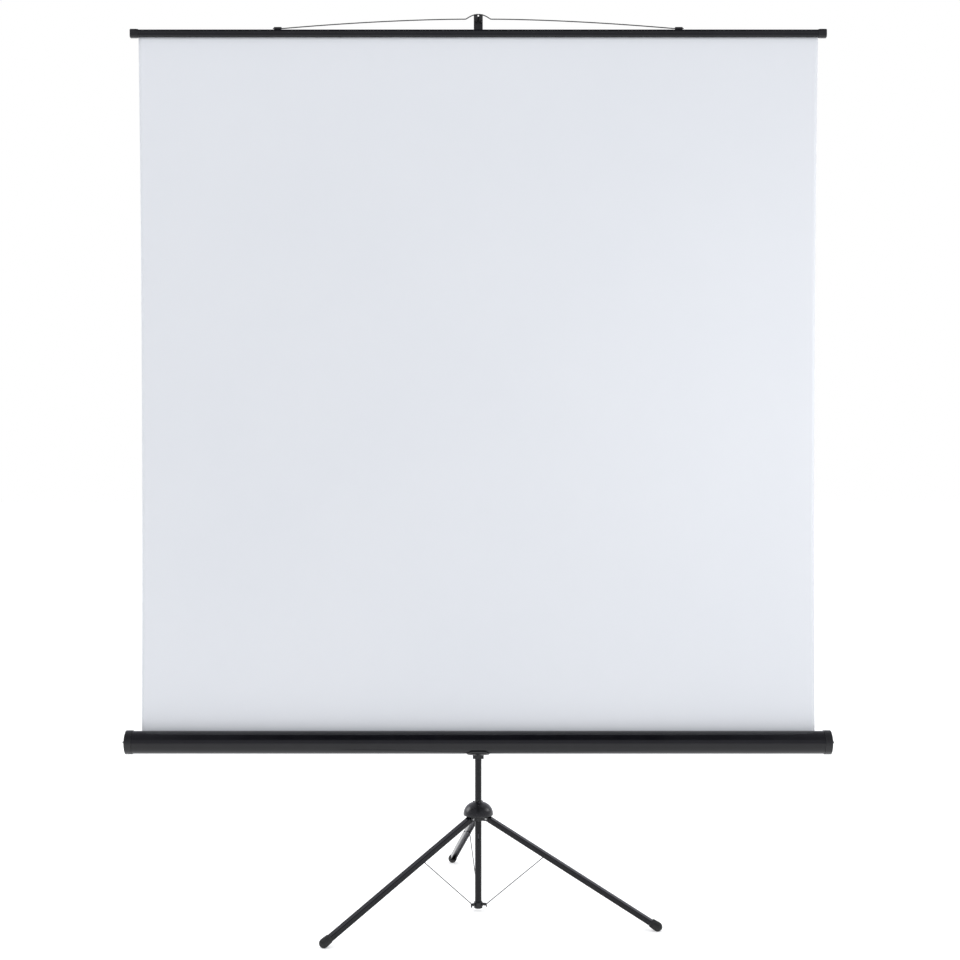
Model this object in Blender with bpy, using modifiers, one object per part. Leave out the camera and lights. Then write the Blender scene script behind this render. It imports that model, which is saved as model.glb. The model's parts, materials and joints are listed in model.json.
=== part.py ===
"""Tripod projector screen, 1.8 m wide: a folding tripod, a telescoping mast, and a sheet on a spring roller.

Metres, +Z up, the sheet faces -Y. The floor is at Z = 0 and the origin is at the middle of the footprint.
"""
import math

import bmesh
import bpy
from mathutils import Matrix

for old in list(bpy.data.objects):
    bpy.data.objects.remove(old, do_unlink=True)

# Clearance between pieces that touch
GAP = 0.0003

# Sheet
SHEET_WIDTH = 1.800
SHEET_VISIBLE = 1.841
SHEET_THICKNESS = 0.0005

# Case, a round tube with a slot for the sheet at its upper rear
CASE_HEIGHT = 0.4733
CASE_OFFSET = 0.0725
CASE_RADIUS = 0.0305
CASE_WALL = 0.0010
CASE_END = 0.0430
CASE_SLOT = 0.0070
CASE_LIP = 0.0026
CAP_OVERLAP = 0.0150
CAP_WALL = 0.0013
CAP_FACE = 0.0080
CAP_NUB_RADIUS = 0.0028
CAP_NUB_LENGTH = 0.0050
CAP_CONE = 0.0045
CAP_CONE_START = 0.0022
BEARING_ROOT = 0.0088
BEARING_NOSE = 0.0080
BEARING_PLAY = 0.0010
PIN_DEPTH = 0.0040

# Roller inside the case
ROLLER_RADIUS = 0.0160
ROLLER_WALL = 0.0012
ROLLER_OVERHANG = 0.0040
WRAP_THICKNESS = 0.0006
PIN_RADIUS = 0.0040
PLUG_LENGTH = 0.0300
ARBOR_LENGTH = 0.3600
SPRING_LENGTH = 0.3000
SPRING_WIRE = 0.0022

# Top bar and hem rod
BAR_HEIGHT = 0.0200
BAR_DEPTH = 0.0160
BAR_END = 0.0220
BAR_CAP_LENGTH = 0.0220
BAR_CAP_WALL = 0.0013
BAR_CAVITY_RADIUS = 0.0034
BAR_SLOT = 0.0016
BAR_WALL = 0.0016
BAR_CORNER = 0.0050
BAR_GROOVE = 0.0006
BAR_GROOVE_WIDTH = 0.0026
BAR_GROOVE_RISE = 0.0015
BAR_CAP_FACE = 0.0040
HEM_ROD_RADIUS = 0.0024

# Bail
BAIL_SPAN = 1.086
BAIL_WIRE_RADIUS = 0.0014
BAIL_RISE = 0.0540
ARM_RISE = 0.0355
ARCH_HALF_WIDTH = 0.0325
CLIP_LENGTH = 0.0200
CLIP_HEIGHT = 0.0070
CLIP_DEPTH = 0.0080
CLIP_INSET = 0.0020
BAIL_STRAIGHT = 0.0060

# Mast tubes, one inside the other
LOWER_TUBE_RADIUS = 0.0090
LOWER_TUBE_TOP = 1.250
OUTER_TUBE_TOP = 1.450
EXTENSION_OVERLAP = 0.310
TUBE_WALL = 0.0012
ROD_LENGTH = 0.262

# Clamp collar and its knob
COLLAR_DROP = 0.0270
COLLAR_HEIGHT = 0.0293
COLLAR_RADIUS = 0.0150
COLLAR_STEP = 0.0133
KNOB_RADIUS = 0.0128
KNOB_LOBE = 0.0014
KNOB_LOBES = 5
KNOB_THICKNESS = 0.0120
SCREW_RADIUS = 0.0028
KNOB_BOSS_RADIUS = 0.0065
KNOB_BOSS_REACH = 0.0185
KNOB_BOSS_ROOT = 0.0015
KNOB_SOFT_EDGE = 0.0012
SCREW_SEAT = 0.0040

# Case bracket, saddle and swivel bolt
SLEEVE_RADIUS = 0.0140
SLEEVE_HEIGHT = 0.0545
PLATE_RADIUS = 0.0210
PLATE_THICKNESS = 0.0050
PLATE_BACK = 0.0247
RIB_INSIDE = 0.0100
RIB_THICKNESS = 0.0040
RIB_BACK = 0.0060
SADDLE_LENGTH = 0.0600
SADDLE_WALL = 0.0030
SADDLE_BLOCK_HEIGHT = 0.0300
BOLT_RADIUS = 0.0040
BOLT_HEAD_RADIUS = 0.0075
BOLT_HEAD_THICKNESS = 0.0030
NUT_ACROSS_FLATS = 0.0130
NUT_THICKNESS = 0.0055
BOLT_PROUD = 0.0010
SOFT_EDGE = 0.0010

# Guide housing on top of the outer tube, and the release button
HOUSING_LAP = 0.0250
HOUSING_RISE = 0.0350
HOUSING_RADIUS = 0.0140
BUTTON_DROP = 0.0170
BUTTON_RADIUS = 0.0045
BUTTON_TRAVEL = 0.0030
BUTTON_BOSS_RADIUS = 0.0085
BUTTON_BOSS_REACH = 0.0215
BUTTON_PROUD = 0.0045
BUTTON_FLANGE = 0.0016
BUTTON_FLANGE_LIP = 0.0018
BUTTON_SPRING_ROOM = 0.0050
WELL_FLOOR = 0.0030
BUTTON_SPRING_WALL = 0.0010
HOUSING_TAPER = 0.0020
HOUSING_TAPER_HEIGHT = 0.0040
GUIDE_PLUG_LENGTH = 0.0180
GUIDE_PLUG_FOOT = 0.0030
GUIDE_PLUG_WALL = 0.0016
CATCH_PITCH = 0.100
CATCH_RADIUS = 0.0024

# Mast head with its hook
HEAD_WIDTH = 0.0240
HEAD_BACK = 0.0120
HEAD_FRONT = 0.0125
HEAD_LENGTH = 0.0660
HEAD_SOCKET = 0.0500
HEAD_SLOT = 0.0050
HEAD_SLOT_DEPTH = 0.0060
HOOK_REACH = 0.0255
HEAD_DROP = 0.0027
HEAD_SHOULDER = 0.0050
HOOK_GAP = 0.00042
HOOK_LIP = 0.0030
HOOK_LIP_RISE = 0.0007
HOOK_NOSE = 0.0058
HOOK_DEPTH = 0.0060
HOOK_ROOT = 0.0180

# Hub
PIVOT_HEIGHT = 0.2560
PIVOT_RADIUS = 0.0260
HUB_BOSS_RADIUS = 0.0170
HUB_BOSS_DROP = 0.0080
EAR_THICKNESS = 0.0022
EAR_RADIUS = 0.0070
DOME_RADIUS = 0.0404
DOME_HEIGHT = 0.0360
DOME_RIM_RISE = 0.0065
DOME_WALL = 0.0018
DOME_ROUNDNESS = 2.2
HUB_SCREW_RADIUS = 0.0015
HUB_SCREW_HEAD = 0.0026
HUB_SCREW_CROWN = 0.0016
HUB_SCREW_DEPTH = 0.0080
HUB_SCREW_ASIDE = 0.0002
EAR_WEB = 0.0060
RIVET_RADIUS = 0.0025
RIVET_HEAD_RADIUS = 0.0040
RIVET_HEAD_THICKNESS = 0.0018

# Legs and feet
LEG_TURN = math.radians(9)
LEG_WIDTH = 0.0175
LEG_DEPTH = 0.0135
LEG_WALL = 0.0012
LEG_CORNER = 0.0020
FOOT_RADIUS = 0.500
FOOT_HEIGHT = 0.0117
FOOT_CAP_RADIUS = 0.0125
FOOT_CAP_MOUTH = 0.0113
FOOT_CAP_LENGTH = 0.0200
FOOT_SEAT = 0.0060
LEG_END_PROUD = 0.0004
FOOT_CAP_SOFT = 0.0008
FOOT_CAP_WAIST = 0.0003

# Stays, brace collar and rod
STAY_ATTACH = 0.188
STAY_WIRE_RADIUS = 0.00115
STAY_BEND = 0.0024
STAY_ASIDE = 0.0052
STAY_TIP = 0.0016
LUG_RADIUS = 0.0200
LUG_RISE = 0.0100
LUG_THICKNESS = 0.0050
BRACE_BOTTOM = 0.0080
BRACE_HEIGHT = 0.0177
BRACE_BOSS_RADIUS = 0.0118
WINDOW_DROP = 0.0390
WINDOW_HEIGHT = 0.0220
WINDOW_WIDTH = 0.0040
CATCH_NOSE_WIDTH = 0.0028
CATCH_NOSE_DEPTH = 0.0026
CATCH_NOSE_PLAY = 0.0030
CATCH_NOSE_RAMP = 0.0022
CATCH_LEAF = 0.0009
CATCH_LEAF_BEND = 0.0080
CATCH_LEAF_TOP = 0.0320
LUG_HALF_HEIGHT = 0.0055
LUG_WALL = 0.0017
LUG_FLARE = 0.0014
LUG_CORNER = 0.0030
LUG_ROOT = 0.0030
BRACE_SOFT_EDGE = 0.0012

# Worked out from the sizes above
CASE_LENGTH = SHEET_WIDTH + 2 * CASE_END
BAR_LENGTH = SHEET_WIDTH + 2 * BAR_END
COLLAR_TOP = CASE_HEIGHT - COLLAR_DROP
COLLAR_BOTTOM = COLLAR_TOP - COLLAR_HEIGHT
COLLAR_SHOULDER = COLLAR_BOTTOM + COLLAR_STEP
KNOB_HEIGHT = COLLAR_BOTTOM + KNOB_BOSS_RADIUS + GAP
HOUSING_BOTTOM = OUTER_TUBE_TOP - HOUSING_LAP
HOUSING_TOP = OUTER_TUBE_TOP + HOUSING_RISE
BUTTON_HEIGHT = HOUSING_TOP - BUTTON_DROP
EXTENSION_BOTTOM = OUTER_TUBE_TOP - EXTENSION_OVERLAP
DOME_RIM = PIVOT_HEIGHT + DOME_RIM_RISE
WINDOW_TOP = PIVOT_HEIGHT - WINDOW_DROP
WINDOW_BOTTOM = WINDOW_TOP - WINDOW_HEIGHT
LUG_HEIGHT = BRACE_BOTTOM + LUG_RISE
BRACE_TOP = BRACE_BOTTOM + BRACE_HEIGHT
ROD_TOP = BRACE_BOTTOM + ROD_LENGTH
LOWER_TUBE_BORE = LOWER_TUBE_RADIUS - TUBE_WALL
INNER_RADIUS = LOWER_TUBE_BORE - GAP
OUTER_TUBE_BORE = LOWER_TUBE_RADIUS + GAP
OUTER_TUBE_RADIUS = OUTER_TUBE_BORE + TUBE_WALL
WRAP_RADIUS = ROLLER_RADIUS + GAP + WRAP_THICKNESS
SHEET_ASIDE = WRAP_RADIUS + GAP + SHEET_THICKNESS / 2
SHEET_OFFSET = CASE_OFFSET - SHEET_ASIDE
BAR_BOTTOM = CASE_HEIGHT + CASE_RADIUS + SHEET_VISIBLE
BAR_MIDDLE = BAR_BOTTOM + BAR_HEIGHT / 2
BAIL_PIVOT = BAR_BOTTOM + BAR_HEIGHT + CLIP_HEIGHT / 2
BAIL_LEAN = math.asin((SHEET_OFFSET - HOOK_REACH) / BAIL_RISE)
ARCH_TOP = BAIL_PIVOT + BAIL_RISE * math.cos(BAIL_LEAN)
LEG_ANGLE = math.atan2(FOOT_RADIUS - PIVOT_RADIUS, PIVOT_HEIGHT - FOOT_HEIGHT)
LEG_LENGTH = math.hypot(FOOT_RADIUS - PIVOT_RADIUS, PIVOT_HEIGHT - FOOT_HEIGHT)
ATTACH_RADIUS = PIVOT_RADIUS + STAY_ATTACH * math.sin(LEG_ANGLE)
ATTACH_HEIGHT = PIVOT_HEIGHT - STAY_ATTACH * math.cos(LEG_ANGLE)
STAY_LENGTH = math.hypot(ATTACH_RADIUS - LUG_RADIUS, ATTACH_HEIGHT - LUG_HEIGHT)
STAY_ANGLE = math.atan2(ATTACH_RADIUS - LUG_RADIUS, ATTACH_HEIGHT - LUG_HEIGHT)
LEGS = (
    ("left", math.radians(210) + LEG_TURN, 1),
    ("right", math.radians(330) + LEG_TURN, 1),
    ("rear", math.radians(90) + LEG_TURN, -1),
)
FRONT_FOOT_ANGLE = LEGS[0][1]
REAR_FOOT_ANGLE = LEGS[2][1]
MAST_SHIFT = -FOOT_RADIUS * (math.sin(FRONT_FOOT_ANGLE) + math.sin(REAR_FOOT_ANGLE)) / 2

PARTS = bpy.data.collections.new("tripod_projector_screen")
CUTTERS = bpy.data.collections.new("cutters")
bpy.context.scene.collection.children.link(PARTS)
bpy.context.scene.collection.children.link(CUTTERS)

# Turns of a mesh drawn along Z: its length then runs along X, Y or Z
ALONG = {
    "X": Matrix(((0, 0, 1, 0), (1, 0, 0, 0), (0, 1, 0, 0), (0, 0, 0, 1))),
    "Y": Matrix(((1, 0, 0, 0), (0, 0, -1, 0), (0, 1, 0, 0), (0, 0, 0, 1))),
    "Z": Matrix.Identity(4),
}


# Materials
def paint(name, colour, roughness, metallic=0.0):
    """A Principled material of one finish."""
    material = bpy.data.materials.new(name)
    material.use_nodes = True
    shader = material.node_tree.nodes["Principled BSDF"]
    shader.inputs["Base Color"].default_value = (*colour, 1)
    shader.inputs["Roughness"].default_value = roughness
    shader.inputs["Metallic"].default_value = metallic
    return material


BLACK_PAINT = paint("black_paint", (0.022, 0.022, 0.025), 0.35)
BLACK_PLASTIC = paint("black_plastic", (0.018, 0.018, 0.020), 0.45)
BLACK_RUBBER = paint("black_rubber", (0.020, 0.020, 0.021), 0.80)
STEEL_WIRE = paint("steel_wire", (0.34, 0.34, 0.35), 0.30, 1.0)
BARE_STEEL = paint("bare_steel", (0.50, 0.50, 0.51), 0.35, 1.0)
MATTE_WHITE = paint("matte_white", (0.80, 0.81, 0.83), 0.85)
DARK_WIRE = paint("dark_wire", (0.060, 0.060, 0.065), 0.40, 1.0)


# Makers
def frame(name, parent=None, location=(0, 0, 0), rotation=(0, 0, 0)):
    """An empty that carries pieces, on the axis that they move about."""
    empty = bpy.data.objects.new(name, None)
    PARTS.objects.link(empty)
    empty.parent = parent
    empty.location = location
    empty.rotation_euler = rotation
    return empty


def add(name, mesh, material, parent, location=(0, 0, 0), rotation=(0, 0, 0)):
    """Places a mesh as an object."""
    piece = bpy.data.objects.new(name, mesh)
    PARTS.objects.link(piece)
    mesh.materials.append(material)
    mesh.shade_smooth()
    mesh.set_sharp_from_angle(angle=math.radians(35))
    piece.parent = parent
    piece.location = location
    piece.rotation_euler = rotation
    return piece


def cylinder(name, radius, length, along, material, parent, location=(0, 0, 0), sides=24):
    """A cylinder whose middle is at the location."""
    mesh = bpy.data.meshes.new(name)
    shape = bmesh.new()
    bmesh.ops.create_cone(
        shape, cap_ends=True, segments=sides, radius1=radius, radius2=radius, depth=length
    )
    shape.to_mesh(mesh)
    shape.free()
    mesh.transform(ALONG[along])
    return add(name, mesh, material, parent, location)


def box(name, size, material, parent, location=(0, 0, 0)):
    """A block whose middle is at the location."""
    mesh = bpy.data.meshes.new(name)
    shape = bmesh.new()
    bmesh.ops.create_cube(shape, size=1)
    shape.to_mesh(mesh)
    shape.free()
    mesh.transform(Matrix.Diagonal((*size, 1)))
    return add(name, mesh, material, parent, location)


def turned(name, profile, closed, material, parent, location=(0, 0, 0), rotation=(0, 0, 0), steps=28):
    """A turned shape: (radius, height) points down the outer side, and back up the bore when closed."""
    mesh = bpy.data.meshes.new(name)
    points = [(radius, 0, height) for radius, height in profile]
    edges = [(i, i + 1) for i in range(len(points) - 1)]
    if closed:
        edges.append((len(points) - 1, 0))
    mesh.from_pydata(points, edges, [])
    piece = add(name, mesh, material, parent, location, rotation)
    screw = piece.modifiers.new("turn", "SCREW")
    screw.axis = "Z"
    screw.steps = steps
    screw.render_steps = steps
    screw.use_merge_vertices = True
    screw.merge_threshold = 0.00001
    return piece


def tube(name, radius, bore, bottom, top, material, parent, steps=28):
    """A round tube standing on the axis of its frame."""
    profile = [(radius, top), (radius, bottom), (bore, bottom), (bore, top)]
    return turned(name, profile, True, material, parent, steps=steps)


def from_curve(name, curve, turn=None):
    """The welded mesh of a curve."""
    guide = bpy.data.objects.new(name, curve)
    PARTS.objects.link(guide)
    evaluated = guide.evaluated_get(bpy.context.evaluated_depsgraph_get())
    mesh = bpy.data.meshes.new_from_object(evaluated)
    bpy.data.objects.remove(guide, do_unlink=True)
    shape = bmesh.new()
    shape.from_mesh(mesh)
    bmesh.ops.remove_doubles(shape, verts=shape.verts, dist=0.000001)
    shape.to_mesh(mesh)
    shape.free()
    mesh.materials.clear()
    if turn:
        mesh.transform(turn)
    mesh.name = name
    return mesh


def prism(name, outline, length, along, material, parent, location=(0, 0, 0)):
    """A flat outline with a thickness. Along X the outline is (Y, Z), along Y it is (X, Z), along Z it is (X, Y)."""
    curve = bpy.data.curves.new(name, "CURVE")
    curve.dimensions = "2D"
    curve.fill_mode = "BOTH"
    curve.extrude = length / 2
    spline = curve.splines.new("POLY")
    spline.points.add(len(outline) - 1)
    for point, (across, up) in zip(spline.points, outline):
        point.co = (across, up, 0, 1)
    spline.use_cyclic_u = True
    mesh = from_curve(name, curve, ALONG[along])
    return add(name, mesh, material, parent, location)


def wire(name, path, radius, material, parent, location=(0, 0, 0), rotation=(0, 0, 0)):
    """A bent wire with closed ends."""
    curve = bpy.data.curves.new(name, "CURVE")
    curve.dimensions = "3D"
    curve.bevel_depth = radius
    curve.bevel_resolution = 2
    curve.use_fill_caps = True
    spline = curve.splines.new("POLY")
    spline.points.add(len(path) - 1)
    for point, place in zip(spline.points, path):
        point.co = (*place, 1)
    mesh = from_curve(name, curve)
    return add(name, mesh, material, parent, location, rotation)


def arc(centre, radius, start, end, count):
    """Points on an arc, with the angles in degrees."""
    points = []
    for i in range(count + 1):
        angle = math.radians(start + (end - start) * i / count)
        points.append((centre[0] + radius * math.cos(angle), centre[1] + radius * math.sin(angle)))
    return points


def rounded_box(width, height, radius, count=4):
    """The outline of a box with round corners."""
    x = width / 2 - radius
    y = height / 2 - radius
    return (
        arc((x, y), radius, 0, 90, count)
        + arc((-x, y), radius, 90, 180, count)
        + arc((-x, -y), radius, 180, 270, count)
        + arc((x, -y), radius, 270, 360, count)
    )


def combine(piece, operation, tools):
    """Runs one Boolean for each tool, which becomes a hidden cutter."""
    for tool in tools:
        if tool.name not in CUTTERS.objects:
            PARTS.objects.unlink(tool)
            CUTTERS.objects.link(tool)
            tool.hide_render = True
            tool.display_type = "WIRE"
        change = piece.modifiers.new(tool.name, "BOOLEAN")
        change.operation = operation
        change.solver = "EXACT"
        change.object = tool


def cut(piece, *tools):
    combine(piece, "DIFFERENCE", tools)


def fuse(piece, *tools):
    combine(piece, "UNION", tools)


def bevel(piece, width, segments=2):
    """Rounds the edges that are sharper than 40 degrees."""
    edge = piece.modifiers.new("edges", "BEVEL")
    edge.width = width
    edge.segments = segments
    edge.limit_method = "ANGLE"
    edge.angle_limit = math.radians(40)


# Frames: one for each body that moves
stand = frame("stand_frame", None, (0, MAST_SHIFT, 0))
hub = frame("hub_frame", stand, (0, 0, PIVOT_HEIGHT))
mast = frame("mast_frame", stand)
knob_axis = frame("knob_frame", mast, (0, 0, KNOB_HEIGHT))
case = frame("case_frame", mast, (0, -CASE_OFFSET, CASE_HEIGHT))
roller = frame("roller_frame", case)
bar = frame("bar_frame", case, (0, SHEET_ASIDE, BAR_MIDDLE - CASE_HEIGHT))
bail = frame("bail_frame", bar, (0, 0, BAIL_PIVOT - BAR_MIDDLE), (-BAIL_LEAN, 0, 0))
extension = frame("extension_frame", mast)
button_axis = frame("button_frame", mast, (0, 0, BUTTON_HEIGHT))


# Brace collar: a boss round the rod, with three lugs whose hooks open downwards
def lug_outline():
    """A lug seen from its side: a plate from the boss outwards, with a hooked slot for the stay's end."""
    slot = STAY_WIRE_RADIUS + GAP
    bottom = LUG_HEIGHT - LUG_HALF_HEIGHT
    top = LUG_HEIGHT + LUG_HALF_HEIGHT
    outer = LUG_RADIUS + slot + LUG_FLARE + LUG_WALL
    return (
        [(BRACE_BOSS_RADIUS - LUG_ROOT, top), (outer - LUG_CORNER, top), (outer, top - LUG_CORNER), (outer, bottom)]
        + [(LUG_RADIUS + slot + LUG_FLARE, bottom)]
        + arc((LUG_RADIUS, LUG_HEIGHT), slot, 0, 180, 8)
        + [(LUG_RADIUS - slot, bottom), (BRACE_BOSS_RADIUS - LUG_ROOT, bottom)]
    )


brace_collar = turned(
    "brace_collar",
    [
        (BRACE_BOSS_RADIUS - BRACE_SOFT_EDGE, BRACE_TOP),
        (BRACE_BOSS_RADIUS, BRACE_TOP - BRACE_SOFT_EDGE),
        (BRACE_BOSS_RADIUS, BRACE_BOTTOM + BRACE_SOFT_EDGE),
        (BRACE_BOSS_RADIUS - BRACE_SOFT_EDGE, BRACE_BOTTOM),
        (INNER_RADIUS + GAP, BRACE_BOTTOM),
        (INNER_RADIUS + GAP, BRACE_TOP),
    ],
    True,
    BLACK_PLASTIC,
    stand,
)
for side, angle, _ in LEGS:
    lug_frame = frame(f"lug_frame_{side}", stand, rotation=(0, 0, angle))
    lug = prism(f"lug_{side}", lug_outline(), LUG_THICKNESS, "Y", BLACK_PLASTIC, lug_frame)
    fuse(brace_collar, lug)

# Brace rod: the inner tube that runs in the foot of the mast, with a slot for the catch's nose
brace_rod = tube("brace_rod", INNER_RADIUS, INNER_RADIUS - TUBE_WALL, BRACE_BOTTOM, ROD_TOP, BARE_STEEL, stand)
window_middle = (WINDOW_BOTTOM + WINDOW_TOP) / 2
rod_slot = box(
    "rod_slot",
    (WINDOW_WIDTH, INNER_RADIUS, WINDOW_HEIGHT),
    BARE_STEEL,
    stand,
    (0, -INNER_RADIUS, window_middle),
)
cut(brace_rod, rod_slot)

# Catch spring: a leaf inside the rod with a nose that shows in the window
nose_back = INNER_RADIUS - TUBE_WALL - CATCH_NOSE_DEPTH
leaf_back = nose_back - CATCH_LEAF
nose_bottom = WINDOW_BOTTOM + CATCH_NOSE_PLAY
nose_top = WINDOW_TOP - CATCH_NOSE_RAMP
nose_tip = INNER_RADIUS - 0.0001
leaf_bend = WINDOW_TOP + CATCH_LEAF_BEND
leaf_top = WINDOW_TOP + CATCH_LEAF_TOP
catch_outline = [
    (-leaf_back, nose_bottom),
    (-nose_back, nose_bottom),
    (-nose_tip + CATCH_NOSE_RAMP / 3, nose_bottom),
    (-nose_tip, nose_bottom + CATCH_NOSE_RAMP),
    (-nose_tip, nose_top - CATCH_NOSE_RAMP),
    (-nose_tip + CATCH_NOSE_RAMP, nose_top),
    (-nose_back, nose_top),
    (-nose_back, leaf_bend),
    (-INNER_RADIUS + TUBE_WALL + GAP, leaf_top),
    (-INNER_RADIUS + TUBE_WALL + GAP + CATCH_LEAF, leaf_top + CATCH_LEAF),
    (-leaf_back, leaf_bend),
]
catch_spring = prism("catch_spring", catch_outline, CATCH_NOSE_WIDTH, "X", BARE_STEEL, stand)

# Lower mast tube with its window
lower_tube = tube(
    "lower_tube", LOWER_TUBE_RADIUS, LOWER_TUBE_BORE, BRACE_TOP + GAP, LOWER_TUBE_TOP, BLACK_PAINT, stand
)
window_outline = rounded_box(WINDOW_WIDTH, WINDOW_HEIGHT, WINDOW_WIDTH / 2 - 0.0002)
window = prism(
    "tube_window",
    window_outline,
    LOWER_TUBE_RADIUS,
    "Y",
    BLACK_PAINT,
    stand,
    (0, -LOWER_TUBE_RADIUS, window_middle),
)
cut(lower_tube, window)


# Hub dome: a pressed cap, an ellipse a little squarer than a circle, turned
def dome_height(radius):
    """The height of the dome's outside at a radius."""
    share = min(1.0, radius / DOME_RADIUS)
    return DOME_RIM + DOME_HEIGHT * (1 - share**DOME_ROUNDNESS) ** (1 / DOME_ROUNDNESS)


def dome_radius(height):
    """The radius of the dome's outside at a height."""
    share = max(0.0, (height - DOME_RIM) / DOME_HEIGHT)
    return DOME_RADIUS * (1 - share**DOME_ROUNDNESS) ** (1 / DOME_ROUNDNESS)


neck_radius = LOWER_TUBE_RADIUS + GAP
crown_inner = LOWER_TUBE_RADIUS - TUBE_WALL / 2
crown_outer = DOME_RADIUS * 0.75
crown = [crown_inner + (crown_outer - crown_inner) * i / 4 for i in range(5)]
dome_profile = [(radius, dome_height(radius)) for radius in crown]
shoulder = dome_height(crown[-1])
for i in range(1, 6):
    height = DOME_RIM + (shoulder - DOME_RIM) * (1 - i / 5)
    dome_profile.append((dome_radius(height), height))
hub_dome = turned("hub_dome", dome_profile, False, BLACK_PLASTIC, hub, (0, 0, -PIVOT_HEIGHT), steps=28)
wall = hub_dome.modifiers.new("wall", "SOLIDIFY")
wall.thickness = DOME_WALL
wall.offset = -1
wall.use_even_offset = True
dome_neck = cylinder(
    "dome_neck", neck_radius, DOME_HEIGHT, "Z", BLACK_PLASTIC, hub, (0, 0, DOME_HEIGHT), sides=28
)
cut(hub_dome, dome_neck)

# Hub core: a boss on the tube with a pair of ears for each leg
crown_slope = math.atan2(dome_height(HUB_BOSS_RADIUS - GAP) - dome_height(HUB_BOSS_RADIUS + GAP), 2 * GAP)
boss_top = dome_height(HUB_BOSS_RADIUS) - DOME_WALL / math.cos(crown_slope) - 2 * GAP - PIVOT_HEIGHT
hub_core = turned(
    "hub_core",
    [
        (HUB_BOSS_RADIUS - SOFT_EDGE, boss_top),
        (HUB_BOSS_RADIUS, boss_top - SOFT_EDGE),
        (HUB_BOSS_RADIUS, -HUB_BOSS_DROP + SOFT_EDGE),
        (HUB_BOSS_RADIUS - SOFT_EDGE, -HUB_BOSS_DROP),
        (neck_radius, -HUB_BOSS_DROP),
        (neck_radius, boss_top),
    ],
    True,
    BLACK_PLASTIC,
    hub,
)
ear_aside = LEG_WIDTH / 2 + GAP + EAR_THICKNESS / 2
ear_root = math.sqrt(HUB_BOSS_RADIUS**2 - (ear_aside + EAR_THICKNESS / 2) ** 2) - SOFT_EDGE
ear_outline = (
    [(ear_root, -EAR_RADIUS)]
    + arc((PIVOT_RADIUS, 0), EAR_RADIUS, -90, 90, 8)
    + [(ear_root + EAR_WEB, boss_top * 0.45), (ear_root, boss_top * 0.60)]
)
clevis = {}
for side, angle, _ in LEGS:
    clevis[side] = frame(f"clevis_frame_{side}", hub, rotation=(0, 0, angle))
    for end in (-1, 1):
        ear = prism(
            f"ear_{side}_{end + 1}",
            ear_outline,
            EAR_THICKNESS,
            "Y",
            BLACK_PLASTIC,
            clevis[side],
            (0, end * ear_aside, 0),
        )
        fuse(hub_core, ear)
for side, angle, _ in LEGS:
    hole = cylinder(
        f"ear_hole_{side}",
        RIVET_RADIUS + GAP,
        LEG_WIDTH * 2,
        "Y",
        BLACK_PLASTIC,
        clevis[side],
        (PIVOT_RADIUS, 0, 0),
        sides=16,
    )
    cut(hub_core, hole)

# Hub screws: three small pan heads in the dome's top, between the legs
screw_circle = (neck_radius + HUB_BOSS_RADIUS) / 2 + HUB_SCREW_ASIDE
screw_seat = dome_height(screw_circle - HUB_SCREW_HEAD) + GAP - PIVOT_HEIGHT
screw_tip = boss_top - HUB_SCREW_DEPTH
screw_profile = [
    (0, screw_seat + HUB_SCREW_CROWN),
    (HUB_SCREW_HEAD * 0.6, screw_seat + HUB_SCREW_CROWN * 0.9),
    (HUB_SCREW_HEAD, screw_seat + HUB_SCREW_CROWN * 0.4),
    (HUB_SCREW_HEAD, screw_seat),
    (HUB_SCREW_RADIUS, screw_seat),
    (HUB_SCREW_RADIUS, screw_tip),
    (0, screw_tip),
]
for side, angle, _ in LEGS:
    turn = angle + math.radians(60)
    place = (screw_circle * math.cos(turn), screw_circle * math.sin(turn), 0)
    hole = cylinder(
        f"screw_hole_{side}",
        HUB_SCREW_RADIUS + GAP,
        DOME_HEIGHT,
        "Z",
        BLACK_PLASTIC,
        hub,
        (place[0], place[1], screw_tip + DOME_HEIGHT / 2 - GAP),
        sides=10,
    )
    cut(hub_core, hole)
    cut(hub_dome, hole)
    turned(f"hub_screw_{side}", screw_profile, False, BARE_STEEL, hub, place, steps=10)

# Legs, feet, rivets and stays
floor_block = box(
    "floor_block",
    (4 * FOOT_RADIUS, 4 * FOOT_RADIUS, 4 * FOOT_CAP_RADIUS),
    BLACK_RUBBER,
    stand,
    (0, 0, -2 * FOOT_CAP_RADIUS),
)
channel_outline = (
    [(-LEG_DEPTH / 2, -LEG_WIDTH / 2)]
    + arc((LEG_DEPTH / 2 - LEG_CORNER, -LEG_WIDTH / 2 + LEG_CORNER), LEG_CORNER, -90, 0, 4)
    + arc((LEG_DEPTH / 2 - LEG_CORNER, LEG_WIDTH / 2 - LEG_CORNER), LEG_CORNER, 0, 90, 4)
    + [
        (-LEG_DEPTH / 2, LEG_WIDTH / 2),
        (-LEG_DEPTH / 2, LEG_WIDTH / 2 - LEG_WALL),
        (LEG_DEPTH / 2 - LEG_WALL, LEG_WIDTH / 2 - LEG_WALL),
        (LEG_DEPTH / 2 - LEG_WALL, -LEG_WIDTH / 2 + LEG_WALL),
        (-LEG_DEPTH / 2, -LEG_WIDTH / 2 + LEG_WALL),
    ]
)
leg_end_radius = LEG_DEPTH / 2 + LEG_END_PROUD
leg_bottom = -LEG_LENGTH + FOOT_SEAT
side_outline = arc((0, 0), leg_end_radius, 0, 180, 12) + [
    (-leg_end_radius, leg_bottom),
    (leg_end_radius, leg_bottom),
]
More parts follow.
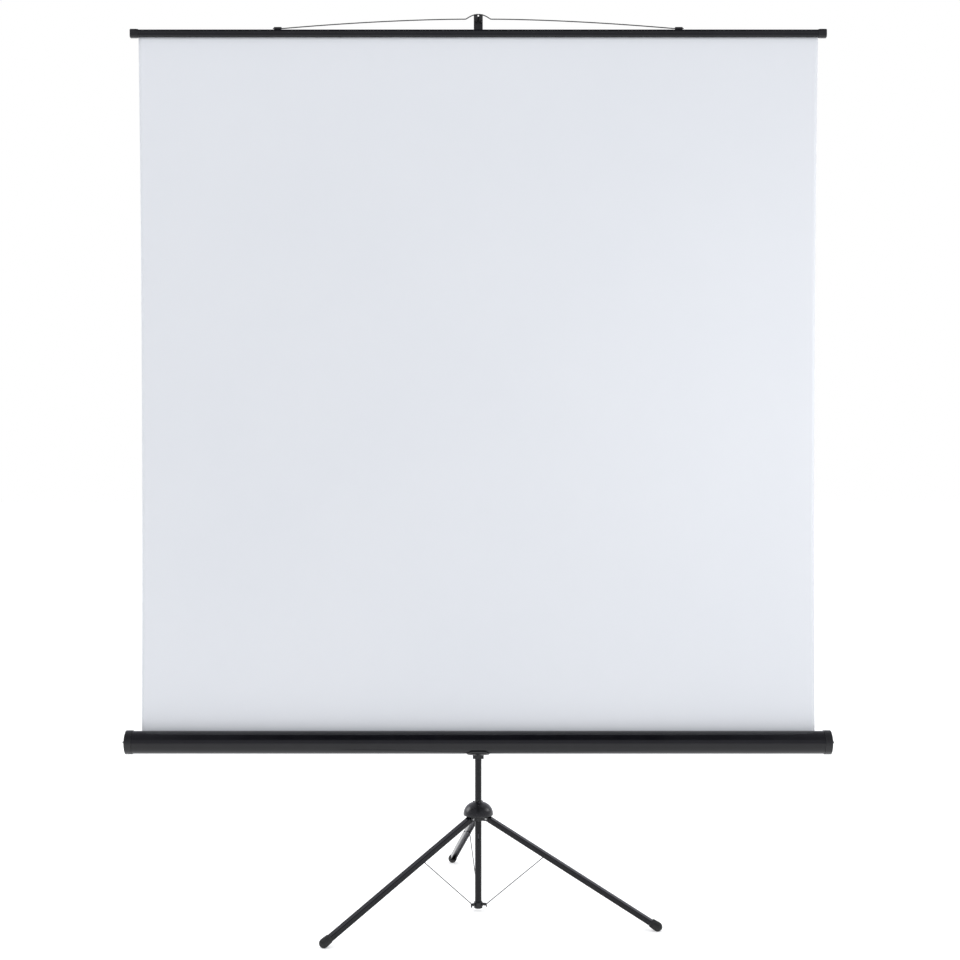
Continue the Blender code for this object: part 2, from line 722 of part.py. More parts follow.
foot_profile = (
    [(0, FOOT_CAP_LENGTH), (FOOT_CAP_MOUTH - FOOT_CAP_SOFT, FOOT_CAP_LENGTH), (FOOT_CAP_MOUTH, FOOT_CAP_LENGTH - FOOT_CAP_SOFT)]
    + [(FOOT_CAP_RADIUS - FOOT_CAP_WAIST, FOOT_CAP_LENGTH * 0.5), (FOOT_CAP_RADIUS, FOOT_CAP_LENGTH * 0.25)]
    + [
        (FOOT_CAP_RADIUS * math.cos(math.radians(15 * i)), -FOOT_CAP_RADIUS * math.sin(math.radians(15 * i)))
        for i in range(6)
    ]
    + [(0, -FOOT_CAP_RADIUS)]
)
rivet_half = ear_aside + EAR_THICKNESS / 2 + GAP
rivet_profile = [
    (0, rivet_half + RIVET_HEAD_THICKNESS),
    (RIVET_HEAD_RADIUS * 0.65, rivet_half + RIVET_HEAD_THICKNESS * 0.85),
    (RIVET_HEAD_RADIUS, rivet_half + RIVET_HEAD_THICKNESS * 0.25),
    (RIVET_HEAD_RADIUS, rivet_half),
    (RIVET_RADIUS, rivet_half),
    (RIVET_RADIUS, -rivet_half),
    (RIVET_HEAD_RADIUS, -rivet_half),
    (RIVET_HEAD_RADIUS, -rivet_half - RIVET_HEAD_THICKNESS * 0.25),
    (RIVET_HEAD_RADIUS * 0.65, -rivet_half - RIVET_HEAD_THICKNESS * 0.85),
    (0, -rivet_half - RIVET_HEAD_THICKNESS),
]


def stay_path(hand):
    """A stay hanging straight down from its pivot: both ends are bent across, along Y."""
    aside = hand * STAY_ASIDE
    across_top = -hand * (LEG_WIDTH / 2 + STAY_TIP)
    across_bottom = -hand * (LUG_THICKNESS / 2 + STAY_TIP)
    path = [(0, across_top, 0), (0, aside - hand * STAY_BEND, 0)]
    for i in range(1, 4):
        turn = math.radians(30 * i)
        path.append(
            (0, aside - hand * STAY_BEND * (1 - math.sin(turn)), -STAY_BEND * (1 - math.cos(turn)))
        )
    for i in range(4):
        turn = math.radians(30 * i)
        path.append(
            (0, aside - hand * STAY_BEND * (1 - math.cos(turn)), -STAY_LENGTH + STAY_BEND * (1 - math.sin(turn)))
        )
    path.append((0, across_bottom, -STAY_LENGTH))
    return path


for side, angle, hand in LEGS:
    leg_axis = frame(f"leg_frame_{side}", clevis[side], (PIVOT_RADIUS, 0, 0), (0, -LEG_ANGLE, 0))
    channel_length = LEG_LENGTH - FOOT_SEAT + leg_end_radius
    leg = prism(
        f"leg_{side}",
        channel_outline,
        channel_length,
        "Z",
        BLACK_PAINT,
        leg_axis,
        (0, 0, (leg_bottom + leg_end_radius) / 2),
    )
    silhouette = prism(f"leg_shape_{side}", side_outline, LEG_WIDTH * 2, "Y", BLACK_PAINT, leg_axis)
    combine(leg, "INTERSECT", [silhouette])
    pivot_hole = cylinder(
        f"pivot_hole_{side}", RIVET_RADIUS + GAP, LEG_WIDTH * 2, "Y", BLACK_PAINT, leg_axis, sides=16
    )
    stay_hole = cylinder(
        f"stay_hole_{side}",
        STAY_WIRE_RADIUS + GAP,
        LEG_WIDTH,
        "Y",
        BLACK_PAINT,
        leg_axis,
        (0, -hand * LEG_WIDTH / 2, -STAY_ATTACH),
        sides=12,
    )
    cut(leg, pivot_hole, stay_hole)
    turned(
        f"leg_rivet_{side}",
        rivet_profile,
        False,
        BARE_STEEL,
        clevis[side],
        (PIVOT_RADIUS, 0, 0),
        (math.radians(90), 0, 0),
        steps=14,
    )
    foot = turned(f"foot_{side}", foot_profile, False, BLACK_RUBBER, leg_axis, (0, 0, -LEG_LENGTH), steps=20)
    pocket_top = -LEG_LENGTH + FOOT_CAP_LENGTH + FOOT_SEAT
    pocket_bottom = leg_bottom - GAP
    pocket = box(
        f"foot_pocket_{side}",
        (LEG_DEPTH + 2 * GAP, LEG_WIDTH + 2 * GAP, pocket_top - pocket_bottom),
        BLACK_RUBBER,
        leg_axis,
        (0, 0, (pocket_top + pocket_bottom) / 2),
    )
    cut(foot, pocket, floor_block)
    stay_axis = frame(
        f"stay_frame_{side}", leg_axis, (0, 0, -STAY_ATTACH), (0, LEG_ANGLE + STAY_ANGLE, 0)
    )
    wire(f"stay_{side}", stay_path(hand), STAY_WIRE_RADIUS, STEEL_WIRE, stay_axis)

# Outer mast tube
outer_tube = tube(
    "outer_tube", OUTER_TUBE_RADIUS, OUTER_TUBE_BORE, COLLAR_SHOULDER + GAP, OUTER_TUBE_TOP, BLACK_PAINT, mast
)

# Clamp collar: grips the outer tube's end, with a boss for the knob's screw at the back
mast_collar = turned(
    "mast_collar",
    [
        (COLLAR_RADIUS, COLLAR_TOP),
        (COLLAR_RADIUS, COLLAR_BOTTOM + SOFT_EDGE),
        (COLLAR_RADIUS - SOFT_EDGE, COLLAR_BOTTOM),
        (OUTER_TUBE_BORE, COLLAR_BOTTOM),
        (OUTER_TUBE_BORE, COLLAR_SHOULDER),
        (OUTER_TUBE_RADIUS + GAP, COLLAR_SHOULDER),
        (OUTER_TUBE_RADIUS + GAP, COLLAR_TOP),
    ],
    True,
    BLACK_PLASTIC,
    mast,
)
boss_start = OUTER_TUBE_RADIUS + KNOB_BOSS_ROOT
knob_boss = cylinder(
    "knob_boss",
    KNOB_BOSS_RADIUS,
    KNOB_BOSS_REACH - boss_start,
    "Y",
    BLACK_PLASTIC,
    knob_axis,
    (0, (KNOB_BOSS_REACH + boss_start) / 2, 0),
)
fuse(mast_collar, knob_boss)
knob_hole = cylinder(
    "knob_hole",
    SCREW_RADIUS + GAP,
    KNOB_BOSS_REACH,
    "Y",
    BLACK_PLASTIC,
    knob_axis,
    (0, LOWER_TUBE_RADIUS * 0.6 + KNOB_BOSS_REACH / 2, 0),
    sides=16,
)
cut(mast_collar, knob_hole)

# Clamp knob: a lobed knob on its screw
knob_outline = []
for step in range(40):
    turn = 2 * math.pi * step / 40
    reach = KNOB_RADIUS + KNOB_LOBE * math.cos(KNOB_LOBES * turn)
    knob_outline.append((reach * math.cos(turn), reach * math.sin(turn)))
knob_start = KNOB_BOSS_REACH + GAP
mast_lock_knob = prism(
    "mast_lock_knob",
    knob_outline,
    KNOB_THICKNESS,
    "Y",
    BLACK_PLASTIC,
    knob_axis,
    (0, knob_start + KNOB_THICKNESS / 2, 0),
)
bevel(mast_lock_knob, KNOB_SOFT_EDGE, 1)
screw_start = LOWER_TUBE_RADIUS + GAP
knob_screw = cylinder(
    "knob_screw",
    SCREW_RADIUS,
    knob_start + SCREW_SEAT - screw_start,
    "Y",
    BARE_STEEL,
    knob_axis,
    (0, (knob_start + SCREW_SEAT + screw_start) / 2, 0),
    sides=16,
)
fuse(mast_lock_knob, knob_screw)

# Case bracket: a sleeve on the outer tube, and a round plate in front of it on two ribs
sleeve_bottom = COLLAR_TOP + GAP
case_bracket = tube(
    "case_bracket",
    SLEEVE_RADIUS,
    OUTER_TUBE_RADIUS + GAP,
    sleeve_bottom,
    sleeve_bottom + SLEEVE_HEIGHT,
    BLACK_PLASTIC,
    mast,
)
plate = cylinder(
    "bracket_plate",
    PLATE_RADIUS,
    PLATE_THICKNESS,
    "Y",
    BLACK_PLASTIC,
    mast,
    (0, -PLATE_BACK - PLATE_THICKNESS / 2, CASE_HEIGHT),
    sides=32,
)
fuse(case_bracket, plate)
rib_front = PLATE_BACK + PLATE_THICKNESS / 2
for end in (-1, 1):
    rib = box(
        f"bracket_rib_{end + 1}",
        (RIB_THICKNESS, rib_front - RIB_BACK, PLATE_RADIUS * 1.3),
        BLACK_PLASTIC,
        mast,
        (end * (RIB_INSIDE + RIB_THICKNESS / 2), -(rib_front + RIB_BACK) / 2, CASE_HEIGHT),
    )
    fuse(case_bracket, rib)
bolt_hole = cylinder(
    "bracket_bolt_hole",
    BOLT_RADIUS + GAP,
    PLATE_THICKNESS * 3,
    "Y",
    BLACK_PLASTIC,
    mast,
    (0, -PLATE_BACK - PLATE_THICKNESS / 2, CASE_HEIGHT),
    sides=20,
)
cut(case_bracket, bolt_hole)

# Case saddle: a clamp under and behind the case, with a flat-backed block for the swivel
saddle_back = CASE_OFFSET - PLATE_BACK - PLATE_THICKNESS - GAP
saddle_inner = CASE_RADIUS + GAP
saddle_outer = saddle_inner + SADDLE_WALL
block_half = SADDLE_BLOCK_HEIGHT / 2
block_angle = math.degrees(math.asin(block_half / saddle_outer))
saddle_outline = (
    arc((0, 0), saddle_inner, block_angle, -140, 30)
    + arc((0, 0), saddle_outer, -140, -block_angle, 20)
    + [(saddle_back, -block_half), (saddle_back, block_half)]
)
case_saddle = prism("case_saddle", saddle_outline, SADDLE_LENGTH, "X", BLACK_PLASTIC, case)
head_seat = saddle_inner + GAP + BOLT_HEAD_THICKNESS + GAP
head_hole = cylinder(
    "bolt_head_hole",
    BOLT_HEAD_RADIUS + GAP,
    head_seat,
    "Y",
    BLACK_PLASTIC,
    case,
    (0, head_seat / 2, 0),
)
shank_hole = cylinder(
    "saddle_bolt_hole",
    BOLT_RADIUS + GAP,
    saddle_back,
    "Y",
    BLACK_PLASTIC,
    case,
    (0, saddle_back, 0),
    sides=20,
)
cut(case_saddle, head_hole, shank_hole)

# Swivel bolt and nut
head_start = saddle_inner + GAP
shank_end = CASE_OFFSET - PLATE_BACK + NUT_THICKNESS + BOLT_PROUD
swivel_bolt = turned(
    "swivel_bolt",
    [
        (0, shank_end),
        (BOLT_RADIUS - SOFT_EDGE / 2, shank_end),
        (BOLT_RADIUS, shank_end - SOFT_EDGE / 2),
        (BOLT_RADIUS, head_start + BOLT_HEAD_THICKNESS),
        (BOLT_HEAD_RADIUS, head_start + BOLT_HEAD_THICKNESS),
        (BOLT_HEAD_RADIUS, head_start),
        (0, head_start),
    ],
    False,
    BARE_STEEL,
    case,
    rotation=(math.radians(-90), 0, 0),
    steps=20,
)
nut_start = CASE_OFFSET - PLATE_BACK + GAP
swivel_nut = cylinder(
    "swivel_nut",
    NUT_ACROSS_FLATS / math.sqrt(3),
    NUT_THICKNESS - GAP,
    "Y",
    BARE_STEEL,
    case,
    (0, nut_start + (NUT_THICKNESS - GAP) / 2, 0),
    sides=6,
)
nut_hole = cylinder(
    "nut_hole", BOLT_RADIUS + GAP, NUT_THICKNESS * 3, "Y", BARE_STEEL, case, (0, nut_start, 0), sides=20
)
cut(swivel_nut, nut_hole)

# Case shell: a round tube, open along a slot where the sheet comes out
shell_half = CASE_LENGTH / 2 - CAP_FACE - GAP
slot_angle = math.degrees(math.acos(SHEET_ASIDE / CASE_RADIUS))
slot_half_angle = math.degrees(math.asin(CASE_SLOT / 2 / CASE_RADIUS)) / math.sin(math.radians(slot_angle))
lip_angle = math.degrees(CASE_WALL / CASE_RADIUS)
shell_start = slot_angle + slot_half_angle
shell_end = slot_angle - slot_half_angle + 360
lip_radius = CASE_RADIUS - CASE_LIP
shell_outline = arc((0, 0), CASE_RADIUS, shell_start, shell_end, 40)
shell_outline += arc((0, 0), lip_radius, shell_end, shell_end - lip_angle, 1)
shell_outline += arc((0, 0), CASE_RADIUS - CASE_WALL, shell_end - lip_angle, shell_start + lip_angle, 40)
shell_outline += arc((0, 0), lip_radius, shell_start + lip_angle, shell_start, 1)
case_shell = prism("case_shell", shell_outline, 2 * shell_half, "X", BLACK_PAINT, case)

# Case caps: moulded ends that slide over the shell, with a bearing boss inside and a nub outside
cap_half = CASE_LENGTH / 2
cap_radius = CASE_RADIUS + GAP + CAP_WALL
bearing_depth = cap_half - SHEET_WIDTH / 2 - ROLLER_OVERHANG - BEARING_PLAY - CAP_FACE
cap_profile = [
    (0, cap_half + CAP_NUB_LENGTH),
    (CAP_NUB_RADIUS * 0.8, cap_half + CAP_NUB_LENGTH),
    (CAP_NUB_RADIUS, cap_half + CAP_NUB_LENGTH * 0.85),
    (CAP_NUB_RADIUS, cap_half),
    (CASE_RADIUS * 0.35, cap_half - GAP),
    (CASE_RADIUS * 0.80, cap_half - CAP_CONE_START),
    (cap_radius - 1.2 * SOFT_EDGE, cap_half - CAP_CONE),
    (cap_radius, cap_half - CAP_CONE - 1.5 * SOFT_EDGE),
    (cap_radius, cap_half - CAP_FACE - CAP_OVERLAP + SOFT_EDGE),
    (cap_radius - 0.6 * SOFT_EDGE, cap_half - CAP_FACE - CAP_OVERLAP),
    (CASE_RADIUS + GAP, cap_half - CAP_FACE - CAP_OVERLAP),
    (CASE_RADIUS + GAP, cap_half - CAP_FACE),
    (BEARING_ROOT, cap_half - CAP_FACE),
    (BEARING_NOSE, cap_half - CAP_FACE - bearing_depth),
    (PIN_RADIUS + GAP, cap_half - CAP_FACE - bearing_depth),
    (PIN_RADIUS + GAP, cap_half - PIN_DEPTH),
    (0, cap_half - PIN_DEPTH),
]
for side, turn in (("left", -90), ("right", 90)):
    turned(
        f"case_cap_{side}",
        cap_profile,
        False,
        BLACK_PLASTIC,
        case,
        rotation=(0, math.radians(turn), 0),
        steps=28,
    )

# Roller: a tube with a plug in each end, and the last turn of the sheet round it
roller_half = SHEET_WIDTH / 2 + ROLLER_OVERHANG
roller_bore = ROLLER_RADIUS - ROLLER_WALL
along_x = (0, math.radians(90), 0)
roller_tube = turned(
    "roller_tube",
    [
        (ROLLER_RADIUS, roller_half),
        (ROLLER_RADIUS, -roller_half),
        (roller_bore, -roller_half),
        (roller_bore, roller_half),
    ],
    True,
    BARE_STEEL,
    roller,
    rotation=along_x,
)
sheet_roll = turned(
    "sheet_roll",
    [
        (WRAP_RADIUS, SHEET_WIDTH / 2),
        (WRAP_RADIUS, -SHEET_WIDTH / 2),
        (ROLLER_RADIUS + GAP, -SHEET_WIDTH / 2),
        (ROLLER_RADIUS + GAP, SHEET_WIDTH / 2),
    ],
    True,
    MATTE_WHITE,
    roller,
    rotation=along_x,
)
pin_end = cap_half - PIN_DEPTH - GAP
plug_end = roller_half + 2 * GAP
plug_radius = roller_bore - GAP
roller_plug_left = turned(
    "roller_plug_left",
    [
        (0, pin_end),
        (PIN_RADIUS, pin_end),
        (PIN_RADIUS, plug_end),
        (plug_radius, plug_end - GAP),
        (plug_radius, roller_half - PLUG_LENGTH),
        (0, roller_half - PLUG_LENGTH),
    ],
    False,
    BLACK_PLASTIC,
    roller,
    rotation=(0, math.radians(-90), 0),
    steps=24,
)
roller_plug_right = turned(
    "roller_plug_right",
    [
        (plug_radius, roller_half),
        (plug_radius, roller_half - PLUG_LENGTH),
        (PIN_RADIUS + GAP, roller_half - PLUG_LENGTH),
        (PIN_RADIUS + GAP, roller_half),
    ],
    True,
    BLACK_PLASTIC,
    roller,
    rotation=along_x,
    steps=24,
)
spring_arbor = cylinder(
    "spring_arbor",
    PIN_RADIUS,
    ARBOR_LENGTH,
    "X",
    BARE_STEEL,
    case,
    (pin_end - ARBOR_LENGTH / 2, 0, 0),
    sides=20,
)
spring_start = roller_half - PLUG_LENGTH - GAP
roller_spring = turned(
    "roller_spring",
    [
        (PIN_RADIUS + GAP + SPRING_WIRE, spring_start),
        (PIN_RADIUS + GAP + SPRING_WIRE, spring_start - SPRING_LENGTH),
        (PIN_RADIUS + GAP, spring_start - SPRING_LENGTH),
        (PIN_RADIUS + GAP, spring_start),
    ],
    True,
    BARE_STEEL,
    case,
    rotation=along_x,
    steps=20,
)

# Sheet: from the roller's rear side straight up into the top bar
bar_cavity = -BAR_HEIGHT / 2 + BAR_WALL + BAR_CAVITY_RADIUS
sheet_top = BAR_MIDDLE + bar_cavity - HEM_ROD_RADIUS - GAP
sheet_height = sheet_top - CASE_HEIGHT
sheet = box(
    "sheet",
    (SHEET_WIDTH, SHEET_THICKNESS, sheet_height),
    MATTE_WHITE,
    case,
    (0, SHEET_ASIDE, sheet_height / 2),
)

# Top bar: a drawn profile with a keyhole slot for the hem
slot_top = math.asin(BAR_SLOT / 2 / BAR_CAVITY_RADIUS)
slot_degrees = math.degrees(slot_top)
bar_x = BAR_DEPTH / 2 - BAR_CORNER
bar_y = BAR_HEIGHT / 2 - BAR_CORNER
bar_groove = [
    (BAR_DEPTH / 2, BAR_GROOVE_RISE - BAR_GROOVE_WIDTH / 2),
    (BAR_DEPTH / 2 - BAR_GROOVE, BAR_GROOVE_RISE - BAR_GROOVE_WIDTH / 4),
    (BAR_DEPTH / 2 - BAR_GROOVE, BAR_GROOVE_RISE + BAR_GROOVE_WIDTH / 4),
    (BAR_DEPTH / 2, BAR_GROOVE_RISE + BAR_GROOVE_WIDTH / 2),
]
bar_outline = (
    [(BAR_SLOT / 2, -BAR_HEIGHT / 2)]
    + arc((bar_x, -bar_y), BAR_CORNER, -90, 0, 5)
    + bar_groove
    + arc((bar_x, bar_y), BAR_CORNER, 0, 90, 5)
    + arc((-bar_x, bar_y), BAR_CORNER, 90, 180, 5)
    + [(-depth, height) for depth, height in reversed(bar_groove)]
    + arc((-bar_x, -bar_y), BAR_CORNER, 180, 270, 5)
    + [(-BAR_SLOT / 2, -BAR_HEIGHT / 2)]
    + arc((0, bar_cavity), BAR_CAVITY_RADIUS, 270 - slot_degrees, -90 + slot_degrees, 16)
)
bar_half = BAR_LENGTH / 2 - BAR_CAP_FACE
top_bar = prism("top_bar", bar_outline, 2 * bar_half, "X", BLACK_PAINT, bar)
hem_rod = cylinder(
    "hem_rod", HEM_ROD_RADIUS, SHEET_WIDTH, "X", BARE_STEEL, bar, (0, 0, bar_cavity), sides=12
)

# Bar caps: sleeves over the bar's ends, closed outside
bar_cap_outline = rounded_box(
    BAR_DEPTH + 2 * (BAR_CAP_WALL + GAP), BAR_HEIGHT + 2 * (BAR_CAP_WALL + GAP), BAR_CORNER + BAR_CAP_WALL
)
cap_pocket_outline = rounded_box(BAR_DEPTH + 2 * GAP, BAR_HEIGHT + 2 * GAP, BAR_CORNER + GAP)
for side, end in (("left", -1), ("right", 1)):
    middle = end * (BAR_LENGTH / 2 - BAR_CAP_LENGTH / 2)
    bar_cap = prism(
        f"bar_cap_{side}", bar_cap_outline, BAR_CAP_LENGTH, "X", BLACK_PLASTIC, bar, (middle, 0, 0)
    )
    bevel(bar_cap, SOFT_EDGE, 1)
    pocket = prism(
        f"bar_cap_pocket_{side}",
        cap_pocket_outline,
        BAR_CAP_LENGTH,
        "X",
        BLACK_PLASTIC,
        bar,
        (middle - end * (BAR_LENGTH / 2 - bar_half - GAP), 0, 0),
    )
    cut(bar_cap, pocket)


# Bail: a long bowed wire with a small arch in the middle, its ends straight in the clips
def bail_path():
    """Half of the bail from its end to the arch's base, then the arch, then the other half."""
    end = BAIL_SPAN / 2
    arm_end = end - CLIP_LENGTH - BAIL_STRAIGHT
    arm = []
    for i in range(11):
        run = 1 - (i / 10) ** 0.8
        x = ARCH_HALF_WIDTH + (arm_end - ARCH_HALF_WIDTH) * run
        arm.append((x, ARM_RISE * (1 - run**1.7)))
    arch = []
    for i in range(1, 16):
        share = 1 - i / 8
        arch.append((ARCH_HALF_WIDTH * share, ARM_RISE + (BAIL_RISE - ARM_RISE) * (1 - share**2)))
    outline = [(end, 0)] + arm + arch + [(-x, up) for x, up in reversed(arm)] + [(-end, 0)]
    return [(-x, 0, up) for x, up in outline]


bail_wire = wire("bail_wire", bail_path(), BAIL_WIRE_RADIUS, DARK_WIRE, bail)
for side, end in (("left", -1), ("right", 1)):
    place = (end * (BAIL_SPAN / 2 - CLIP_LENGTH / 2 - CLIP_INSET), 0, BAIL_PIVOT - BAR_MIDDLE + GAP)
    clip_outline = (
        [(-CLIP_DEPTH / 2, -CLIP_HEIGHT / 2)]
        + [(CLIP_DEPTH / 2, -CLIP_HEIGHT / 2)]
        + arc((0, 0), CLIP_DEPTH / 2, 0, 180, 10)
    )
    clip = prism(f"bail_clip_{side}", clip_outline, CLIP_LENGTH, "X", BLACK_PLASTIC, bar, place)
    clip_hole = cylinder(
        f"clip_hole_{side}",
        BAIL_WIRE_RADIUS + GAP,
        CLIP_LENGTH * 2,
        "X",
        BLACK_PLASTIC,
        bar,
        (place[0], 0, BAIL_PIVOT - BAR_MIDDLE),
        sides=12,
    )
    cut(clip, clip_hole)

# Extension tube with its catch holes, and the plug in its bottom
head_top = ARCH_TOP - HEAD_DROP
head_bottom = head_top - HEAD_LENGTH
extension_top = head_bottom + HEAD_SOCKET - GAP
extension_tube = tube(
    "extension_tube",
    INNER_RADIUS,
    INNER_RADIUS - TUBE_WALL,
    EXTENSION_BOTTOM,
    extension_top,
    BARE_STEEL,
    extension,
    steps=30,
)
catch_hole = BUTTON_HEIGHT
number = 0
while catch_hole < head_bottom - CATCH_PITCH / 2:
    hole = cylinder(
        f"catch_hole_{number}",
        CATCH_RADIUS,
        INNER_RADIUS,
        "Y",
        BARE_STEEL,
        extension,
        (0, INNER_RADIUS, catch_hole),
        sides=8,
    )
    cut(extension_tube, hole)
    catch_hole += CATCH_PITCH
    number += 1
plug_bore = INNER_RADIUS - TUBE_WALL - GAP
extension_plug = turned(
    "extension_plug",
    [
        (plug_bore - SOFT_EDGE / 2, EXTENSION_BOTTOM + GUIDE_PLUG_LENGTH),
        (plug_bore, EXTENSION_BOTTOM + GUIDE_PLUG_LENGTH - SOFT_EDGE),
        (plug_bore, EXTENSION_BOTTOM - GAP),
        (INNER_RADIUS - GAP, EXTENSION_BOTTOM - GAP),
        (INNER_RADIUS - SOFT_EDGE, EXTENSION_BOTTOM - GUIDE_PLUG_FOOT),
        (plug_bore - GUIDE_PLUG_WALL, EXTENSION_BOTTOM - GUIDE_PLUG_FOOT),
        (plug_bore - GUIDE_PLUG_WALL, EXTENSION_BOTTOM + GUIDE_PLUG_LENGTH),
    ],
    True,
    BLACK_PLASTIC,
    extension,
    steps=24,
)

# Mast head: a block on the extension with two cheeks, each with a hook for the bail's arch
cheek = HEAD_WIDTH / 2
cheek_drop = (BAIL_RISE - ARM_RISE) * (cheek / ARCH_HALF_WIDTH) ** 2
cheek_slope = math.atan(2 * (BAIL_RISE - ARM_RISE) * cheek / ARCH_HALF_WIDTH**2)
wire_reach = BAIL_WIRE_RADIUS / math.cos(cheek_slope) + HOOK_GAP
groove_bottom = ARCH_TOP - cheek_drop * math.cos(BAIL_LEAN) - wire_reach
groove_back = -HOOK_REACH + BAIL_WIRE_RADIUS + HOOK_GAP
groove_front = -HOOK_REACH - cheek_drop * math.sin(BAIL_LEAN) - BAIL_WIRE_RADIUS - HOOK_GAP
lip_rise = math.tan(BAIL_LEAN)
head_outline = [
    (HEAD_BACK, head_bottom),
    (HEAD_BACK, head_top - HEAD_SHOULDER),
    (HEAD_BACK - HEAD_SHOULDER * 0.3, head_top - HEAD_SHOULDER * 0.3),
    (HEAD_BACK - HEAD_SHOULDER, head_top),
    (groove_back + SOFT_EDGE, head_top),
    (groove_back, head_top - SOFT_EDGE),
    (groove_back, groove_bottom),
    (groove_front, groove_bottom),
    (groove_front - GAP, groove_bottom + HOOK_LIP_RISE),
    (groove_front - GAP - HOOK_LIP, groove_bottom + HOOK_LIP_RISE + HOOK_LIP * lip_rise),
    (groove_front - HOOK_NOSE, groove_bottom + 1.5 * SOFT_EDGE),
    (groove_front - HOOK_NOSE - SOFT_EDGE / 2, groove_bottom - 1.5 * SOFT_EDGE),
    (groove_front - HOOK_NOSE * 0.7, groove_bottom - HOOK_DEPTH),
    (-HEAD_FRONT, groove_bottom - HOOK_ROOT),
    (-HEAD_FRONT, head_bottom),
]
mast_head = prism("mast_head", head_outline, HEAD_WIDTH, "X", BLACK_PLASTIC, extension)
head_socket = cylinder(
    "head_socket",
    INNER_RADIUS + GAP,
    HEAD_SOCKET * 2,
    "Z",
    BLACK_PLASTIC,
    extension,
    (0, 0, head_bottom),
    sides=32,
)
head_slot = box(
    "head_slot",
    (HEAD_SLOT, HEAD_LENGTH, HEAD_SLOT_DEPTH * 2),
    BLACK_PLASTIC,
    extension,
    (0, 0, head_top),
)
cut(mast_head, head_socket, head_slot)

# Guide housing: a turned cap on the outer tube that guides the extension, with a boss for the button
mast_top_housing = turned(
    "mast_top_housing",
    [
        (HOUSING_RADIUS - HOUSING_TAPER, HOUSING_TOP),
        (HOUSING_RADIUS, HOUSING_TOP - HOUSING_TAPER_HEIGHT),
        (HOUSING_RADIUS, HOUSING_BOTTOM + 1.5 * HOUSING_TAPER_HEIGHT),
        (HOUSING_RADIUS - 1.5 * SOFT_EDGE, HOUSING_BOTTOM),
        (OUTER_TUBE_RADIUS + GAP, HOUSING_BOTTOM),
        (OUTER_TUBE_RADIUS + GAP, OUTER_TUBE_TOP + GAP),
        (INNER_RADIUS + GAP, OUTER_TUBE_TOP + GAP),
        (INNER_RADIUS + GAP, HOUSING_TOP),
    ],
    True,
    BLACK_PLASTIC,
    mast,
)
boss_root = INNER_RADIUS + HOUSING_TAPER
button_boss = cylinder(
    "button_boss",
    BUTTON_BOSS_RADIUS,
    BUTTON_BOSS_REACH - boss_root,
    "Y",
    BLACK_PLASTIC,
    button_axis,
    (0, (BUTTON_BOSS_REACH + boss_root) / 2, 0),
)
fuse(mast_top_housing, button_boss)
spring_bore = BUTTON_RADIUS + BUTTON_FLANGE_LIP
well_bottom = INNER_RADIUS + WELL_FLOOR
button_well = cylinder(
    "button_well",
    spring_bore,
    BUTTON_BOSS_REACH,
    "Y",
    BLACK_PLASTIC,
    button_axis,
    (0, well_bottom + BUTTON_BOSS_REACH / 2, 0),
)
nose_hole = cylinder(
    "nose_hole",
    CATCH_RADIUS - GAP,
    BUTTON_BOSS_REACH,
    "Y",
    BLACK_PLASTIC,
    button_axis,
    (0, INNER_RADIUS - HOUSING_TAPER + BUTTON_BOSS_REACH / 2, 0),
    sides=12,
)
cut(mast_top_housing, button_well, nose_hole)

# Release button: a head with a flange in the well and a thin nose towards the tube
button_nose = CATCH_RADIUS - 2 * GAP
button_tip = INNER_RADIUS + GAP + BUTTON_TRAVEL + GAP
flange_back = well_bottom + GAP + BUTTON_SPRING_ROOM
release_button = turned(
    "release_button",
    [
        (0, BUTTON_BOSS_REACH + BUTTON_PROUD),
        (BUTTON_RADIUS * 0.7, BUTTON_BOSS_REACH + BUTTON_PROUD * 0.95),
        (BUTTON_RADIUS, BUTTON_BOSS_REACH + BUTTON_PROUD * 0.75),
        (BUTTON_RADIUS, flange_back + BUTTON_FLANGE),
        (spring_bore - GAP, flange_back + BUTTON_FLANGE),
        (spring_bore - GAP, flange_back),
        (button_nose, flange_back),
        (button_nose, button_tip),
        (0, button_tip),
    ],
    False,
    BLACK_PLASTIC,
    button_axis,
    rotation=(math.radians(-90), 0, 0),
    steps=20,
)

# Button spring: drawn at its pressed length in the bottom of the well
spring_top = flange_back - BUTTON_TRAVEL - GAP
button_spring = turned(
    "button_spring",
    [
        (spring_bore - GAP, spring_top),
        (spring_bore - GAP, well_bottom + GAP),
        (spring_bore - GAP - BUTTON_SPRING_WALL, well_bottom + GAP),
        (spring_bore - GAP - BUTTON_SPRING_WALL, spring_top),
    ],
    True,
    BARE_STEEL,
    button_axis,
    rotation=(math.radians(-90), 0, 0),
    steps=20,
)
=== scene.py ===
"""A tripod projector screen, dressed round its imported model: fine shapes, finishes, light and camera.

Metres, +Z up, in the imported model's frame; the screen faces -Y. The sections go from the floor up.
"""
import json
import math

